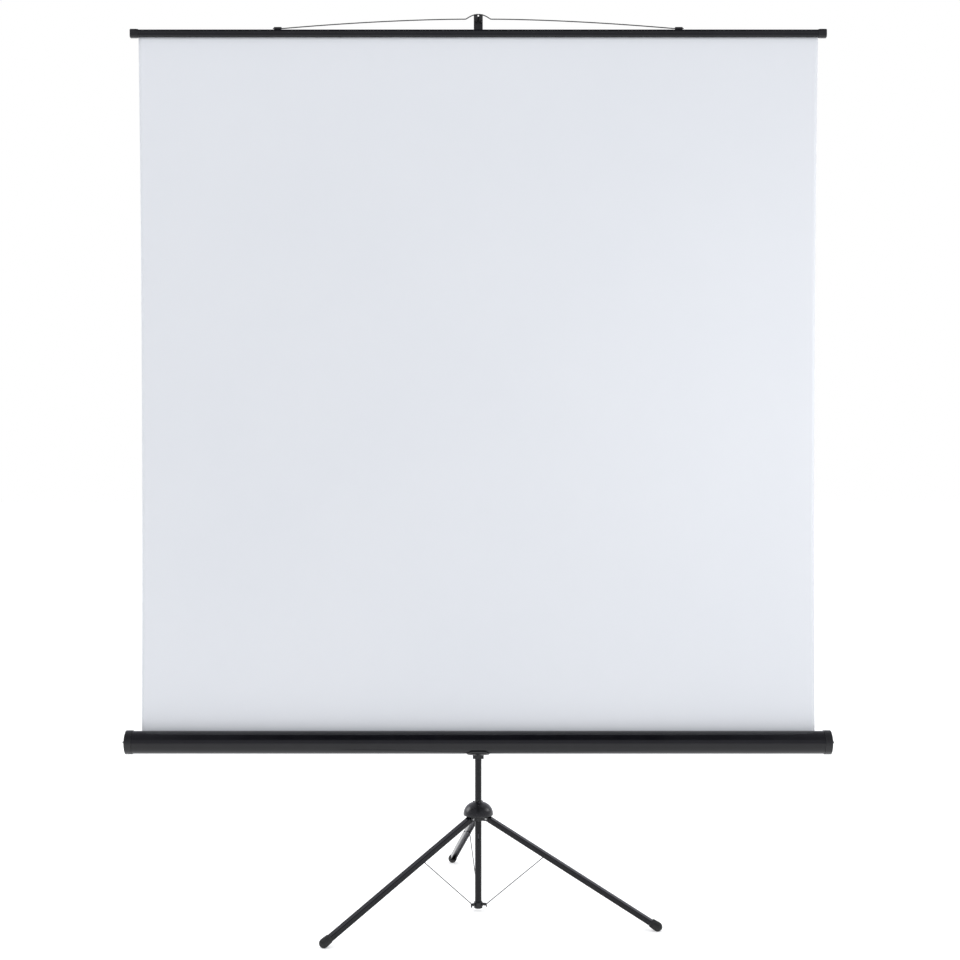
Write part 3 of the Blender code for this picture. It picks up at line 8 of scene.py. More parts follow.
import bmesh
import bpy
import numpy as np
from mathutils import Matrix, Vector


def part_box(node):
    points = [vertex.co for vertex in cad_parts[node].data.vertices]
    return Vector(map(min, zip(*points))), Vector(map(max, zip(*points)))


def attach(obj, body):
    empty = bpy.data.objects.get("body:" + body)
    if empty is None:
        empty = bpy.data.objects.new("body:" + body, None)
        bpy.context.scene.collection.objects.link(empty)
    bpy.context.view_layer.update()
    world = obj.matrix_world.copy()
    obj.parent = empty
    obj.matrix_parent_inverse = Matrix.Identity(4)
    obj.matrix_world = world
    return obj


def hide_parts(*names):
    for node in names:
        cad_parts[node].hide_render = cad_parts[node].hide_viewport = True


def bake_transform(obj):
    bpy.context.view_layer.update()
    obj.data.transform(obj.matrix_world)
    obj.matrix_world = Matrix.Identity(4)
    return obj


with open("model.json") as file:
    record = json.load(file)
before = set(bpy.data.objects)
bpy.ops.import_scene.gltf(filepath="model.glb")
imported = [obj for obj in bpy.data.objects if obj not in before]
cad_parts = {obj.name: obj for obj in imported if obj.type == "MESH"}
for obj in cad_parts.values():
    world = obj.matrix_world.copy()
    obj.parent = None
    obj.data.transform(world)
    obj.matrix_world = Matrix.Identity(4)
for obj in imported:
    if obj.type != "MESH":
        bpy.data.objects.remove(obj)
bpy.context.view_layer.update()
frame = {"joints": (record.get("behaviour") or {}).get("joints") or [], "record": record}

# Lower mast tube
# A drawn steel tube in glossy black enamel, sprayed and baked, with a short upright window cut in its
# front under the hub. The brace collar's rod slides in its foot.
X = np.array((1.0, 0.0, 0.0))
Y = np.array((0.0, 1.0, 0.0))
Z = np.array((0.0, 0.0, 1.0))
GAP = 0.0003
WELD = 0.000002
BEYOND = 0.01


def middle(name, axis):
    """The middle of a CAD node's box along one axis."""
    low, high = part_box(name)
    return (getattr(low, axis) + getattr(high, axis)) / 2


def half_size(name, axis):
    """Half the size of a CAD node's box along one axis."""
    low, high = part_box(name)
    return (getattr(high, axis) - getattr(low, axis)) / 2


MAST_FOOT = np.array((0.0, middle("lower_tube", "y"), 0.0))
TUBE_RADIUS = half_size("lower_tube", "x")
TUBE_WALL = 0.0012
WINDOW_WIDTH = 0.0040
WINDOW_TOP = 0.2170
WINDOW_HEIGHT = 0.0220


def skin(rows, along=False):
    """A skin over points rows[i, j]: each four neighbours are a face, and every row closes on itself.

    Along, the last row is joined to the first; otherwise one face closes each end.
    """
    across = rows.shape[1]
    count = rows.shape[0]
    i, j = np.meshgrid(np.arange(count if along else count - 1), np.arange(across), indexing="ij")
    after_i = (i + 1) % count
    after_j = (j + 1) % across
    corners = (i * across + j, i * across + after_j, after_i * across + after_j, after_i * across + j)
    faces = np.stack(corners, -1).reshape(-1, 4).tolist()
    if not along:
        faces.append(list(range(across - 1, -1, -1)))
        faces.append(list(range((count - 1) * across, count * across)))
    return rows.reshape(-1, 3), faces


def turned(profile, centre, axis, steps=48):
    """A turned shape: a closed profile of (radius r, height h) goes round the axis.

    Its points are centre + h * axis + r * (cos t * side + sin t * (axis x side)).
    """
    profile = np.asarray(profile, float)
    side = X if abs(axis[0]) < 0.9 else Y
    side = side - axis * (side @ axis)
    side = side / np.linalg.norm(side)
    turn = np.arange(steps) * 2 * np.pi / steps
    out = np.outer(np.cos(turn), side) + np.outer(np.sin(turn), np.cross(axis, side))
    rows = centre + profile[:, None, 1:] * axis + profile[:, None, :1] * out
    return skin(rows, along=True)


def rounded(corners, radii, steps=4):
    """A closed outline with round corners; each arc touches both sides and turns evenly between them."""
    corner = np.asarray(corners, float)
    radius = np.broadcast_to(np.asarray(radii, float), len(corner))[:, None]
    last = np.roll(corner, 1, 0) - corner
    following = np.roll(corner, -1, 0) - corner
    last /= np.linalg.norm(last, axis=1, keepdims=True)
    following /= np.linalg.norm(following, axis=1, keepdims=True)
    half = np.arccos(np.clip(np.sum(last * following, 1, keepdims=True), -1, 1)) / 2
    middle = last + following
    centre = corner + middle / np.linalg.norm(middle, axis=1, keepdims=True) * radius / np.sin(half)
    first = corner + last * radius / np.tan(half) - centre
    final = corner + following * radius / np.tan(half) - centre
    sweep = (np.pi - 2 * half)[:, None]
    share = np.linspace(0, 1, steps + 1)[None, :, None]
    arc = np.sin((1 - share) * sweep) * first[:, None] + np.sin(share * sweep) * final[:, None]
    points = (centre[:, None] + arc / np.sin(sweep)).reshape(-1, 2)
    keep = np.linalg.norm(points - np.roll(points, 1, 0), axis=1) > 1e-7
    return points[keep]


def joined(*runs):
    """Runs of points or numbers, one after another."""
    return np.concatenate(runs)


def box_line(left, low, right, high):
    """The four corners of a box outline, from the lower left."""
    return ((left, low), (right, low), (right, high), (left, high))


def box_about(half_across, half_up):
    """The four corners of a box outline about its middle."""
    return box_line(-half_across, -half_up, half_across, half_up)


def arc(centre, radius, start, end, count):
    """Points on an arc round the centre, from one angle to another in degrees."""
    turn = np.radians(np.linspace(start, end, count))
    return np.stack((centre[0] + radius * np.cos(turn), centre[1] + radius * np.sin(turn)), 1)


def drawn_in(outline, amount):
    """The outline moved inwards by an amount, each corner along the line that halves it."""
    side = np.roll(outline, -1, 0) - outline
    side /= np.linalg.norm(side, axis=1, keepdims=True)
    inward = np.stack((-side[:, 1], side[:, 0]), 1)
    both = inward + np.roll(inward, 1, 0)
    return outline + amount * 2 * both / np.sum(both**2, 1, keepdims=True)


def plate(outline, start, end, origin, across, up, rim=0.0004, steps=3):
    """A flat outline with a thickness from start to end along across x up, and round rims.

    At an angle t round the rim the outline is drawn in by rim * (1 - sin t), and it lies rim * (1 - cos t)
    inside the face.
    """
    outline = np.asarray(outline, float)
    after = np.roll(outline, -1, 0)
    if np.sum(outline[:, 0] * after[:, 1] - outline[:, 1] * after[:, 0]) < 0:
        outline = outline[::-1]
    turn = np.linspace(0, np.pi / 2, steps + 1)
    inset = rim * (1 - np.sin(turn))
    depth = rim * (1 - np.cos(turn))
    height = joined(start + depth, (end - depth)[::-1])[:, None, None]
    rings = np.stack([drawn_in(outline, amount) for amount in (*inset, *inset[::-1])])
    out = np.cross(across, up)
    return skin(origin + rings[..., :1] * across + rings[..., 1:] * up + height * out)


def slab(outline, thickness, origin, across, up, rim=0.0004, steps=3):
    """A plate with half of its thickness on each side of the origin."""
    return plate(outline, -thickness / 2, thickness / 2, origin, across, up, rim, steps)


def solid(name, shape):
    """A welded object of one shape's points and faces, its faces turned outwards."""
    points, faces = shape
    mesh = bpy.data.meshes.new(name)
    mesh.from_pydata(points.tolist(), [], faces)
    welded = bmesh.new()
    welded.from_mesh(mesh)
    bmesh.ops.remove_doubles(welded, verts=welded.verts, dist=WELD)
    loose = [edge for edge in welded.edges if not edge.link_faces]
    bmesh.ops.delete(welded, geom=loose, context="EDGES")
    bmesh.ops.recalc_face_normals(welded, faces=welded.faces)
    welded.to_mesh(mesh)
    welded.free()
    thing = bpy.data.objects.new(name, mesh)
    bpy.context.scene.collection.objects.link(thing)
    return thing


def carve(shape, tools, how="DIFFERENCE"):
    """The shape less the tools, or joined with them or kept inside them, by exact Booleans."""
    things = [solid("work", shape)]
    for tool in tools:
        things.append(solid("tool", tool))
        step = things[0].modifiers.new("step", "BOOLEAN")
        step.operation = how
        step.solver = "EXACT"
        step.object = things[-1]
    finished = things[0].evaluated_get(bpy.context.evaluated_depsgraph_get())
    mesh = finished.to_mesh()
    points = np.empty(len(mesh.vertices) * 3)
    mesh.vertices.foreach_get("co", points)
    faces = [list(face.vertices) for face in mesh.polygons]
    finished.to_mesh_clear()
    for thing in things:
        bpy.data.objects.remove(thing)
    return points.reshape(-1, 3), faces


def piece(name, shape, finish, slot, body, *nodes, sharp=35, edges=0.0):
    """A finished piece with its material, its slot (not used) and its body, and the CAD nodes that it
    stands for.
    """
    thing = solid(name, shape)
    thing.data.shade_smooth()
    thing.data.set_sharp_from_angle(angle=math.radians(sharp))
    thing.data.materials.append(finish)
    if edges:
        soft = thing.modifiers.new("soft_edges", "BEVEL")
        soft.width = edges
        soft.segments = 2
        soft.limit_method = "ANGLE"
        soft.angle_limit = math.radians(50)
    thing.modifiers.new("even_shading", "WEIGHTED_NORMAL").keep_sharp = True
    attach(thing, body)
    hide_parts(*nodes)
    return thing


def node(tree, kind, sockets=None, **settings):
    """Adds a shader node with its settings; sockets holds values, or the outputs that feed them."""
    made = tree.nodes.new("ShaderNode" + kind)
    for name, value in settings.items():
        setattr(made, name, value)
    for name, value in (sockets or {}).items():
        if isinstance(value, bpy.types.NodeSocket):
            tree.links.new(value, made.inputs[name])
        else:
            made.inputs[name].default_value = value
    return made


def worked(tree, operation, *values):
    """The result of a Math node on numbers or on outputs."""
    return node(tree, "Math", dict(enumerate(values)), operation=operation).outputs[0]


def noise(tree, size, detail, roughness, squeeze=None):
    """Noise of one size in metres on the piece's own place, squeezed along its axes first if given."""
    place = node(tree, "TexCoord").outputs["Object"]
    if squeeze:
        place = node(tree, "VectorMath", {0: place, 1: squeeze}, operation="MULTIPLY").outputs[0]
    sockets = {"Scale": worked(tree, "DIVIDE", 1.0, size), "Detail": detail, "Roughness": roughness}
    return node(tree, "TexNoise", {"Vector": place, **sockets})


def effect(name, inputs, outputs):
    """A shader node group with named inputs and outputs, still empty; inputs give their default values."""
    tree = bpy.data.node_groups.new(name, "ShaderNodeTree")
    for label, value in inputs.items():
        kind = "Color" if isinstance(value, tuple) and len(value) == 4 else "Float"
        kind = "Vector" if isinstance(value, tuple) and len(value) == 3 else kind
        socket = tree.interface.new_socket(label, in_out="INPUT", socket_type="NodeSocket" + kind)
        socket.default_value = value
    for label, kind in outputs.items():
        tree.interface.new_socket(label, in_out="OUTPUT", socket_type="NodeSocket" + kind)
    return tree, tree.nodes.new("NodeGroupInput").outputs, tree.nodes.new("NodeGroupOutput").inputs


# Uneven tone of a sprayed, moulded or plated surface: clouds of one size move its colour and roughness
uneven, put, out = effect(
    "uneven_tone",
    {"Dark": (0.02,) * 3 + (1,), "Light": (0.03,) * 3 + (1,), "Smooth": 0.3, "Rough": 0.4, "Size": 0.05},
    {"Colour": "Color", "Roughness": "Float"},
)
clouds = noise(uneven, put["Size"], 4.0, 0.6)
spread = {"From Min": 0.32, "From Max": 0.68}
share = node(uneven, "MapRange", {"Value": clouds.outputs["Fac"], **spread}).outputs[0]
mixed = node(uneven, "Mix", {"Factor": share, 6: put["Dark"], 7: put["Light"]}, data_type="RGBA")
uneven.links.new(mixed.outputs[2], out["Colour"])
parts = node(uneven, "SeparateColor", {"Color": clouds.outputs["Color"]})
between = {"To Min": put["Smooth"], "To Max": put["Rough"]}
sheen = node(uneven, "MapRange", {"Value": parts.outputs["Green"], **spread, **between})
uneven.links.new(sheen.outputs[0], out["Roughness"])

# Fine relief of a surface: noise of one size and depth in metres, as orange peel or a moulded grain
relief_inputs = {"Size": 0.001, "Depth": 0.00001, "Detail": 2.0}
relief, put, out = effect("fine_relief", relief_inputs, {"Height": "Float"})
bumps = noise(relief, put["Size"], put["Detail"], 0.5)
relief.links.new(worked(relief, "MULTIPLY", bumps.outputs["Fac"], put["Depth"]), out["Height"])


def material(name, dark, light, sheen, clouds, surface, details, **sockets):
    """A finish: uneven tone and a relief feed a Principled shader; the sockets set what is even all over.

    The colour goes from dark to light and the roughness between sheen's two numbers, in clouds of one size.
    Surface is the group that gives the relief, and details are its inputs.
    """
    made = bpy.data.materials.new(name)
    made.use_nodes = True
    tree = made.node_tree
    shader = tree.nodes["Principled BSDF"]
    tone = {"Dark": (*dark, 1), "Light": (*light, 1), "Smooth": sheen[0], "Rough": sheen[1], "Size": clouds}
    tones = node(tree, "Group", tone, node_tree=uneven)
    tree.links.new(tones.outputs["Colour"], shader.inputs["Base Color"])
    tree.links.new(tones.outputs["Roughness"], shader.inputs["Roughness"])
    height = node(tree, "Group", details, node_tree=surface)
    bump = node(tree, "Bump", {"Height": height.outputs["Height"], "Strength": 1.0, "Distance": 1.0})
    tree.links.new(bump.outputs["Normal"], shader.inputs["Normal"])
    for label, value in sockets.items():
        shader.inputs[label.replace("_", " ")].default_value = value
    return made


ENAMEL_TONE = ((0.0035, 0.0035, 0.0052), (0.0060, 0.0060, 0.0082), (0.13, 0.20), 0.06)
ENAMEL_PEEL = {"Size": 0.0022, "Depth": 0.000010, "Detail": 1.0}
enamel = material("glossy_black_enamel", *ENAMEL_TONE, relief, ENAMEL_PEEL, Specular_IOR_Level=0.25)


def pipe(radius, bore, bottom, top, lips=0.0003, steps=3):
    """The closed profile of a tube with softened rims, from the lower outer one."""
    return rounded(((radius, bottom), (radius, top), (bore, top), (bore, bottom)), lips, steps)


def mast_tube(name, steps):
    """A tube of the mast with the size and place of a CAD node's box."""
    low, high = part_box(name)
    radius = half_size(name, "x")
    return turned(pipe(radius, radius - TUBE_WALL, low.z, high.z), MAST_FOOT, Z, steps)


def round_bar(radius, start, end, centre, axis, steps=24):
    """A plain round bar, used to cut holes."""
    return turned(box_line(0, start, radius, end), centre, axis, steps)


window_middle = WINDOW_TOP - WINDOW_HEIGHT / 2
half_width = WINDOW_WIDTH / 2
half_height = WINDOW_HEIGHT / 2
window_line = box_line(-half_width, window_middle - half_height, half_width, window_middle + half_height)
window_outline = rounded(window_line, half_width * 0.95, 6)
tube_window = plate(window_outline, 0, TUBE_RADIUS * 2, MAST_FOOT, X, Z, rim=0)
lower_tube = mast_tube("lower_tube", 64)
piece("mast_tube_lower", carve(lower_tube, [tube_window]), enamel, "black_paint", "stand", "lower_tube")

# Brace rod and its catch
# A zinc-plated steel tube that slides up into the mast's foot as the legs fold, with a slot for the nose
# of a leaf spring. The leaf is blackened spring steel, and its nose snaps into the mast's window.
ROD_RADIUS = half_size("brace_rod", "x")

# Draw marks: noise stretched along one direction, as a die leaves them on tube, wire and rod
drawn_inputs = {"Squeeze": (1.0, 1.0, 0.03), "Size": 0.0006, "Depth": 0.000004}
drawn, put, out = effect("draw_marks", drawn_inputs, {"Height": "Float"})
lines = noise(drawn, put["Size"], 3.0, 0.6, put["Squeeze"])
drawn.links.new(worked(drawn, "MULTIPLY", lines.outputs["Fac"], put["Depth"]), out["Height"])


def metal(name, dark, light, sheen, clouds, squeeze):
    """A bare or plated metal, with draw marks squeezed by three numbers as its relief."""
    return material(name, dark, light, sheen, clouds, drawn, {"Squeeze": squeeze}, Metallic=1.0)


PLATE_TONE = ((0.27, 0.27, 0.28), (0.37, 0.37, 0.38), (0.26, 0.40), 0.02)
BLACKENED_TONE = ((0.045, 0.045, 0.052), (0.085, 0.085, 0.095), (0.30, 0.44), 0.01)
plated_upright = metal("zinc_plated_tube", *PLATE_TONE, (1.0, 1.0, 0.02))
plated = metal("zinc_plated_steel", *PLATE_TONE, (0.6, 0.6, 0.6))
blackened = metal("blackened_steel", *BLACKENED_TONE, (0.6, 0.6, 0.6))
rod = mast_tube("brace_rod", 56)
piece(
    "brace_slide_rod", carve(rod, [tube_window]), plated_upright, "bare_steel",
    "brace_foot", "brace_rod",
)

NOSE_WIDTH = 0.0028
LEAF_THICKNESS = 0.0009
nose_back = ROD_RADIUS - TUBE_WALL - 0.0026
leaf_back = nose_back - LEAF_THICKNESS
window_bottom = WINDOW_TOP - WINDOW_HEIGHT
leaf_outline = rounded(
    (
        (-leaf_back, window_bottom + 0.0030), (-ROD_RADIUS + 0.0008, window_bottom + 0.0030),
        (-ROD_RADIUS + 0.0001, window_bottom + 0.0045), (-ROD_RADIUS + 0.0001, WINDOW_TOP - 0.0045),
        (-ROD_RADIUS + 0.0020, WINDOW_TOP - 0.0022), (-nose_back, WINDOW_TOP - 0.0022),
        (-nose_back, WINDOW_TOP + 0.0080), (-ROD_RADIUS + TUBE_WALL + GAP, WINDOW_TOP + 0.0320),
        (-ROD_RADIUS + TUBE_WALL + GAP + LEAF_THICKNESS, WINDOW_TOP + 0.0330),
        (-leaf_back, WINDOW_TOP + 0.0080),
    ),
    0.0003,
    3,
)
leaf = slab(leaf_outline, NOSE_WIDTH, MAST_FOOT, Y, Z, 0.0002)
piece("catch_leaf_spring", leaf, blackened, "bare_steel", "brace_foot", "catch_spring")

# Brace collar
# A black nylon moulding fixed to the foot of the brace rod: a boss with three lugs, each with a downward
# hook that the bent end of a stay snaps into.
collar_low, collar_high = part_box("brace_collar")
BOSS_RADIUS = 0.0118
LUG_REACH = 0.0200
LUG_RISE = 0.0100
LUG_LEVEL = collar_low.z + LUG_RISE
LUG_THICKNESS = 0.0050
LUG_HALF = 0.0055
LUG_TIP = 0.0031
STAY_RADIUS = 0.00115
hinges = {joint["name"]: joint for joint in frame["joints"]}
SIDES = ("left", "right", "rear")
HANDS = {"left": 1, "right": 1, "rear": -1}
hub_pivots = {side: np.array(hinges[f"leg_{side}_hinge"]["pos_m"]) for side in SIDES}
PIVOT_LEVEL = hub_pivots["left"][2]
outwards = {}
for side, pivot in hub_pivots.items():
    flat = (pivot - MAST_FOOT) * (1, 1, 0)
    outwards[side] = flat / np.linalg.norm(flat)
PIVOT_REACH = float(np.linalg.norm((hub_pivots["left"] - MAST_FOOT) * (1, 1, 0)))

NYLON_TONE = ((0.0055, 0.0055, 0.0070), (0.0100, 0.0100, 0.0120), (0.25, 0.36), 0.015)
NYLON_GRAIN = {"Size": 0.0006, "Depth": 0.000012, "Detail": 3.0}
nylon = material("moulded_black_nylon", *NYLON_TONE, relief, NYLON_GRAIN, Specular_IOR_Level=0.40)
hook = STAY_RADIUS + GAP + 0.00005
lug_outer = LUG_REACH + hook + LUG_TIP
lug_corners = (0.0009, 0.0034, 0, 0)
lug_outline = joined(
    pipe(lug_outer, BOSS_RADIUS - 0.0030, LUG_LEVEL - LUG_HALF, LUG_LEVEL + LUG_HALF, lug_corners, 5)[1:],
    arc((LUG_REACH, LUG_LEVEL), hook, 180, 0, 14),
)
boss_lips = (0.0016, 0.0022, 0.0004, 0.0004)
boss_profile = pipe(BOSS_RADIUS, ROD_RADIUS + GAP, collar_low.z, collar_high.z, boss_lips, 4)
lugs = [slab(lug_outline, LUG_THICKNESS, MAST_FOOT, outwards[side], Z, 0.0008) for side in SIDES]
boss = carve(turned(boss_profile, MAST_FOOT, Z, 64), lugs, "UNION")
piece("brace_hook_ring", boss, nylon, "black_plastic", "brace_foot", "brace_collar", edges=0.0002)

# Legs
# U-channels roll-formed from thin galvanised strip, open towards the mast, with round ends at the hub and
# a hole for the rivet and for the stay. They are enamelled black outside; their inside faces are a lighter
# grey metal, a painted reflection of the bright room inside the channel.
LEG_WIDTH = 0.0175
LEG_DEPTH = 0.0135
LEG_WALL = 0.0012
LEG_CORNER = 0.0020
LEG_ANGLE = math.radians(hinges["leg_left_hinge"]["range_deg"][1])
FOOT_SEAT = 0.0060
STAY_ATTACH = 0.188
RIVET_RADIUS = 0.0025
mounts = {mount["name"]: np.array(mount["pos_m"]) for mount in frame["record"]["mounts"]}
foot_reach = float(np.linalg.norm((mounts["foot_rest_left"] - MAST_FOOT) * (1, 1, 0)))
LEG_LENGTH = (foot_reach - PIVOT_REACH) / math.sin(LEG_ANGLE)


def directions(path):
    """The direction at each point of a path: the mean of the steps before and after it, one unit long."""
    step = np.diff(path, axis=0)
    step /= np.linalg.norm(step, axis=1, keepdims=True)
    step = joined(step[:1], step[:-1] + step[1:], step[-1:])
    return step / np.linalg.norm(step, axis=1, keepdims=True)


def strip(path, wall):
    """A bent strip's outline: its middle line moved half the wall to one side, and back on the other."""
    step = directions(path)
    aside = np.stack((-step[:, 1], step[:, 0]), 1) * wall / 2
    return joined(path + aside, (path - aside)[::-1])


half_leg = (LEG_WIDTH - LEG_WALL) / 2
leg_back = (LEG_DEPTH - LEG_WALL) / 2
bend = LEG_CORNER - LEG_WALL / 2
channel_path = joined(
    [(-LEG_DEPTH / 2, -half_leg)], arc((leg_back - bend, -half_leg + bend), bend, -90, 0, 8),
    arc((leg_back - bend, half_leg - bend), bend, 0, 90, 8), [(-LEG_DEPTH / 2, half_leg)],
)
channel_outline = strip(channel_path, LEG_WALL)
END_RADIUS = LEG_DEPTH / 2 + 0.0004
# The lighter grey metal on the channels' inside faces is a painted reflection of the bright room.
GREY_REFLECTION_TONE = ((0.15, 0.15, 0.16), (0.22, 0.22, 0.23), (0.50, 0.68), 0.008)
inside_painted_reflection = metal("painted_reflection_grey", *GREY_REFLECTION_TONE, (1.0, 1.0, 1.0))
leg_bottom = -LEG_LENGTH + FOOT_SEAT
leg_side = joined(arc((0, 0), END_RADIUS, 0, 180, 24), [(-END_RADIUS, -1.0), (END_RADIUS, -1.0)])
leg_axes = {}
for side in SIDES:
    out_way = outwards[side]
    across = np.cross(Z, out_way)
    rise = math.cos(LEG_ANGLE) * out_way + math.sin(LEG_ANGLE) * Z
    along = -math.sin(LEG_ANGLE) * out_way + math.cos(LEG_ANGLE) * Z
    pivot = hub_pivots[side]
    leg_axes[side] = (pivot, rise, across, along)
    channel = plate(channel_outline, leg_bottom, END_RADIUS, pivot, rise, across, 0.0002, 2)
    end_shape = plate(leg_side, -LEG_WIDTH, LEG_WIDTH, pivot, rise, along, 0)
    hand = HANDS[side]
    rivet_hole = round_bar(RIVET_RADIUS + GAP, -LEG_WIDTH, LEG_WIDTH, pivot, across)
    stay_place = pivot - STAY_ATTACH * along
    stay_hole = round_bar(STAY_RADIUS + GAP, 0, LEG_WIDTH, stay_place, -hand * across, 20)
    shaped = carve(carve(channel, [end_shape], "INTERSECT"), [rivet_hole, stay_hole])
    leg = piece(
        f"leg_channel_{side}", shaped, enamel, "black_paint",
        f"leg_{side}", f"leg_{side}", edges=0.0002,
    )
    leg.data.materials.append(inside_painted_reflection)
    # Faces inside the channel take the lighter grey, a painted reflection.
    for face in leg.data.polygons:
        place = np.array(face.center) - pivot
        aside = abs(place @ across) < LEG_WIDTH / 2 - LEG_WALL + 0.0001
        if aside and place @ rise < LEG_DEPTH / 2 - LEG_WALL + 0.0001:
            face.material_index = 1

# Feet
# Bulbous black rubber caps pushed over the legs' ends, moulded with two shallow rings and a flat sole
# worn to the floor's level.
FOOT_RADIUS = 0.0125
FOOT_MOUTH = 0.0113
FOOT_LENGTH = 0.0200
RING_LEVELS = (0.0105, 0.0140)
RING_WIDTH = 0.0007
RING_DEPTH = 0.00045
RUBBER_TONE = ((0.010, 0.010, 0.010), (0.020, 0.020, 0.020), (0.62, 0.82), 0.010)
RUBBER_GRAIN = {"Size": 0.0009, "Depth": 0.00006, "Detail": 4.0}
rubber = material("soft_black_rubber", *RUBBER_TONE, relief, RUBBER_GRAIN, Specular_IOR_Level=0.4)
bulb = arc((0, 0), FOOT_RADIUS, -90, 0, 16)
flank = np.linspace(0.0, FOOT_LENGTH - 0.0015, 40)
rings = RING_DEPTH * sum(np.exp(-(((flank - level) / RING_WIDTH) ** 2)) for level in RING_LEVELS)
swell = FOOT_RADIUS - (FOOT_RADIUS - FOOT_MOUTH) * (flank / FOOT_LENGTH) ** 2
foot_profile = joined(
    bulb[:-1], np.stack((swell - rings, flank), 1),
    arc((FOOT_MOUTH - 0.0015, FOOT_LENGTH - 0.0015), 0.0014, 0, 90, 6), [(0, FOOT_LENGTH - 0.0001)],
)
pocket_y = LEG_DEPTH / 2 + GAP
pocket_z = LEG_WIDTH / 2 + GAP
leg_pocket = rounded(box_about(pocket_y, pocket_z), (0.0001, LEG_CORNER, LEG_CORNER, 0.0001))
for side in SIDES:
    pivot, rise, across, along = leg_axes[side]
    end = pivot - LEG_LENGTH * along
    cap = turned(foot_profile, end, along, 56)
    pocket = plate(leg_pocket, FOOT_SEAT - GAP, FOOT_LENGTH * 2, end, rise, across, 0)
    sole = plate(box_about(1, 1), -0.1, 0.0, end * (1, 1, 0), X, Y, 0)
    piece(
        f"rubber_foot_{side}", carve(cap, [pocket, sole]), rubber, "black_rubber",
        f"leg_{side}", f"foot_{side}", sharp=45, edges=0.0003,
    )

# Stays
# Dull hard-drawn steel wire, its ends bent square: one end turns in the leg's hole, the other hooks into
# a lug of the brace collar.
STAY_BEND = 0.0024
STAY_ASIDE = 0.0052
STAY_TIP = 0.0016
attach_reach = PIVOT_REACH + STAY_ATTACH * math.sin(LEG_ANGLE)
attach_level = PIVOT_LEVEL - STAY_ATTACH * math.cos(LEG_ANGLE)
STAY_LENGTH = math.hypot(attach_reach - LUG_REACH, attach_level - LUG_LEVEL)
STAY_ANGLE = math.atan2(attach_reach - LUG_REACH, attach_level - LUG_LEVEL)
WIRE_TONE = ((0.020, 0.020, 0.022), (0.036, 0.036, 0.039), (0.38, 0.50), 0.012)
dull_wire = metal("dull_drawn_wire", *WIRE_TONE, (0.5, 0.5, 0.5))


def bent_wire(path, radius, facing, sides=14):
    """A bent wire: round the path goes the circle r * (cos t * facing + sin t * (tangent x facing)).

    Half spheres close the ends: at an angle s the circle is r * cos s wide, and r * sin s beyond the end.
    """
    tangent = directions(path)
    tip = np.linspace(0, np.pi / 2, 5)[1:, None]
    first = path[0] - tangent[0] * radius * np.sin(tip)
    last = path[-1] + tangent[-1] * radius * np.sin(tip)
    centre = joined(first[::-1], path, last)
    ends = len(tip)
    tangent = joined(tangent[:1].repeat(ends, 0), tangent, tangent[-1:].repeat(ends, 0))
    size = joined(np.cos(tip)[::-1, 0], np.ones(len(path)), np.cos(tip)[:, 0]) * radius
    turn = np.arange(sides) * 2 * np.pi / sides
    beside = np.cross(tangent, facing)
    circle = np.cos(turn)[None, :, None] * facing + np.sin(turn)[None, :, None] * beside[:, None]
    return skin(centre[:, None] + size[:, None, None] * circle)


for side in SIDES:
    pivot, rise, across, along = leg_axes[side]
    hand = HANDS[side]
    down = -math.sin(STAY_ANGLE) * outwards[side] - math.cos(STAY_ANGLE) * Z
    start = pivot - STAY_ATTACH * along
    upper = arc((0, 0), STAY_BEND, 90, 0, 8)
    lower = arc((0, 0), STAY_BEND, 0, -90, 8)
    shift = hand * STAY_ASIDE - hand * STAY_BEND
    flat_path = joined(
        [(-hand * (LEG_WIDTH / 2 + STAY_TIP), 0)],
        np.stack((shift + hand * upper[:, 0], STAY_BEND - upper[:, 1]), 1),
        np.stack((shift + hand * lower[:, 0], STAY_LENGTH - STAY_BEND - lower[:, 1]), 1),
        [(-hand * (LUG_THICKNESS / 2 + STAY_TIP), STAY_LENGTH)],
    )
    path = start + flat_path[:, :1] * across + flat_path[:, 1:] * down
    facing = np.cross(across, down)
    piece(
        f"stay_wire_{side}", bent_wire(path, STAY_RADIUS, facing), dull_wire, "steel_wire",
        f"stay_{side}", f"stay_{side}",
    )

# Hub core
# A black nylon boss pressed on the mast's foot tube, moulded with a pair of ears for each leg.
EAR_THICKNESS = 0.0022
EAR_RADIUS = 0.0070
HUB_RADIUS = 0.0170
SCREW_RADIUS = 0.0015
SCREW_DEPTH = 0.0083
core_low, core_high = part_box("hub_core")
neck_radius = TUBE_RADIUS + GAP
hub_profile = pipe(HUB_RADIUS, neck_radius, core_low.z, core_high.z, (0.0016, 0.0012, 0.0003, 0.0006), 4)
boss_rise = core_high.z - PIVOT_LEVEL
ear_aside = LEG_WIDTH / 2 + GAP
ear_root = math.sqrt(HUB_RADIUS**2 - (ear_aside + EAR_THICKNESS) ** 2) - 0.0010
ear_outline = joined(
    [(ear_root, -EAR_RADIUS)], arc((PIVOT_REACH, 0), EAR_RADIUS, -90, 88, 20),
    [(ear_root + 0.0060, boss_rise * 0.45), (ear_root, boss_rise * 0.60)],
)
SCREW_CIRCLE = (neck_radius + HUB_RADIUS) / 2 + 0.0002
screw_places = {}
ears = []
holes = []
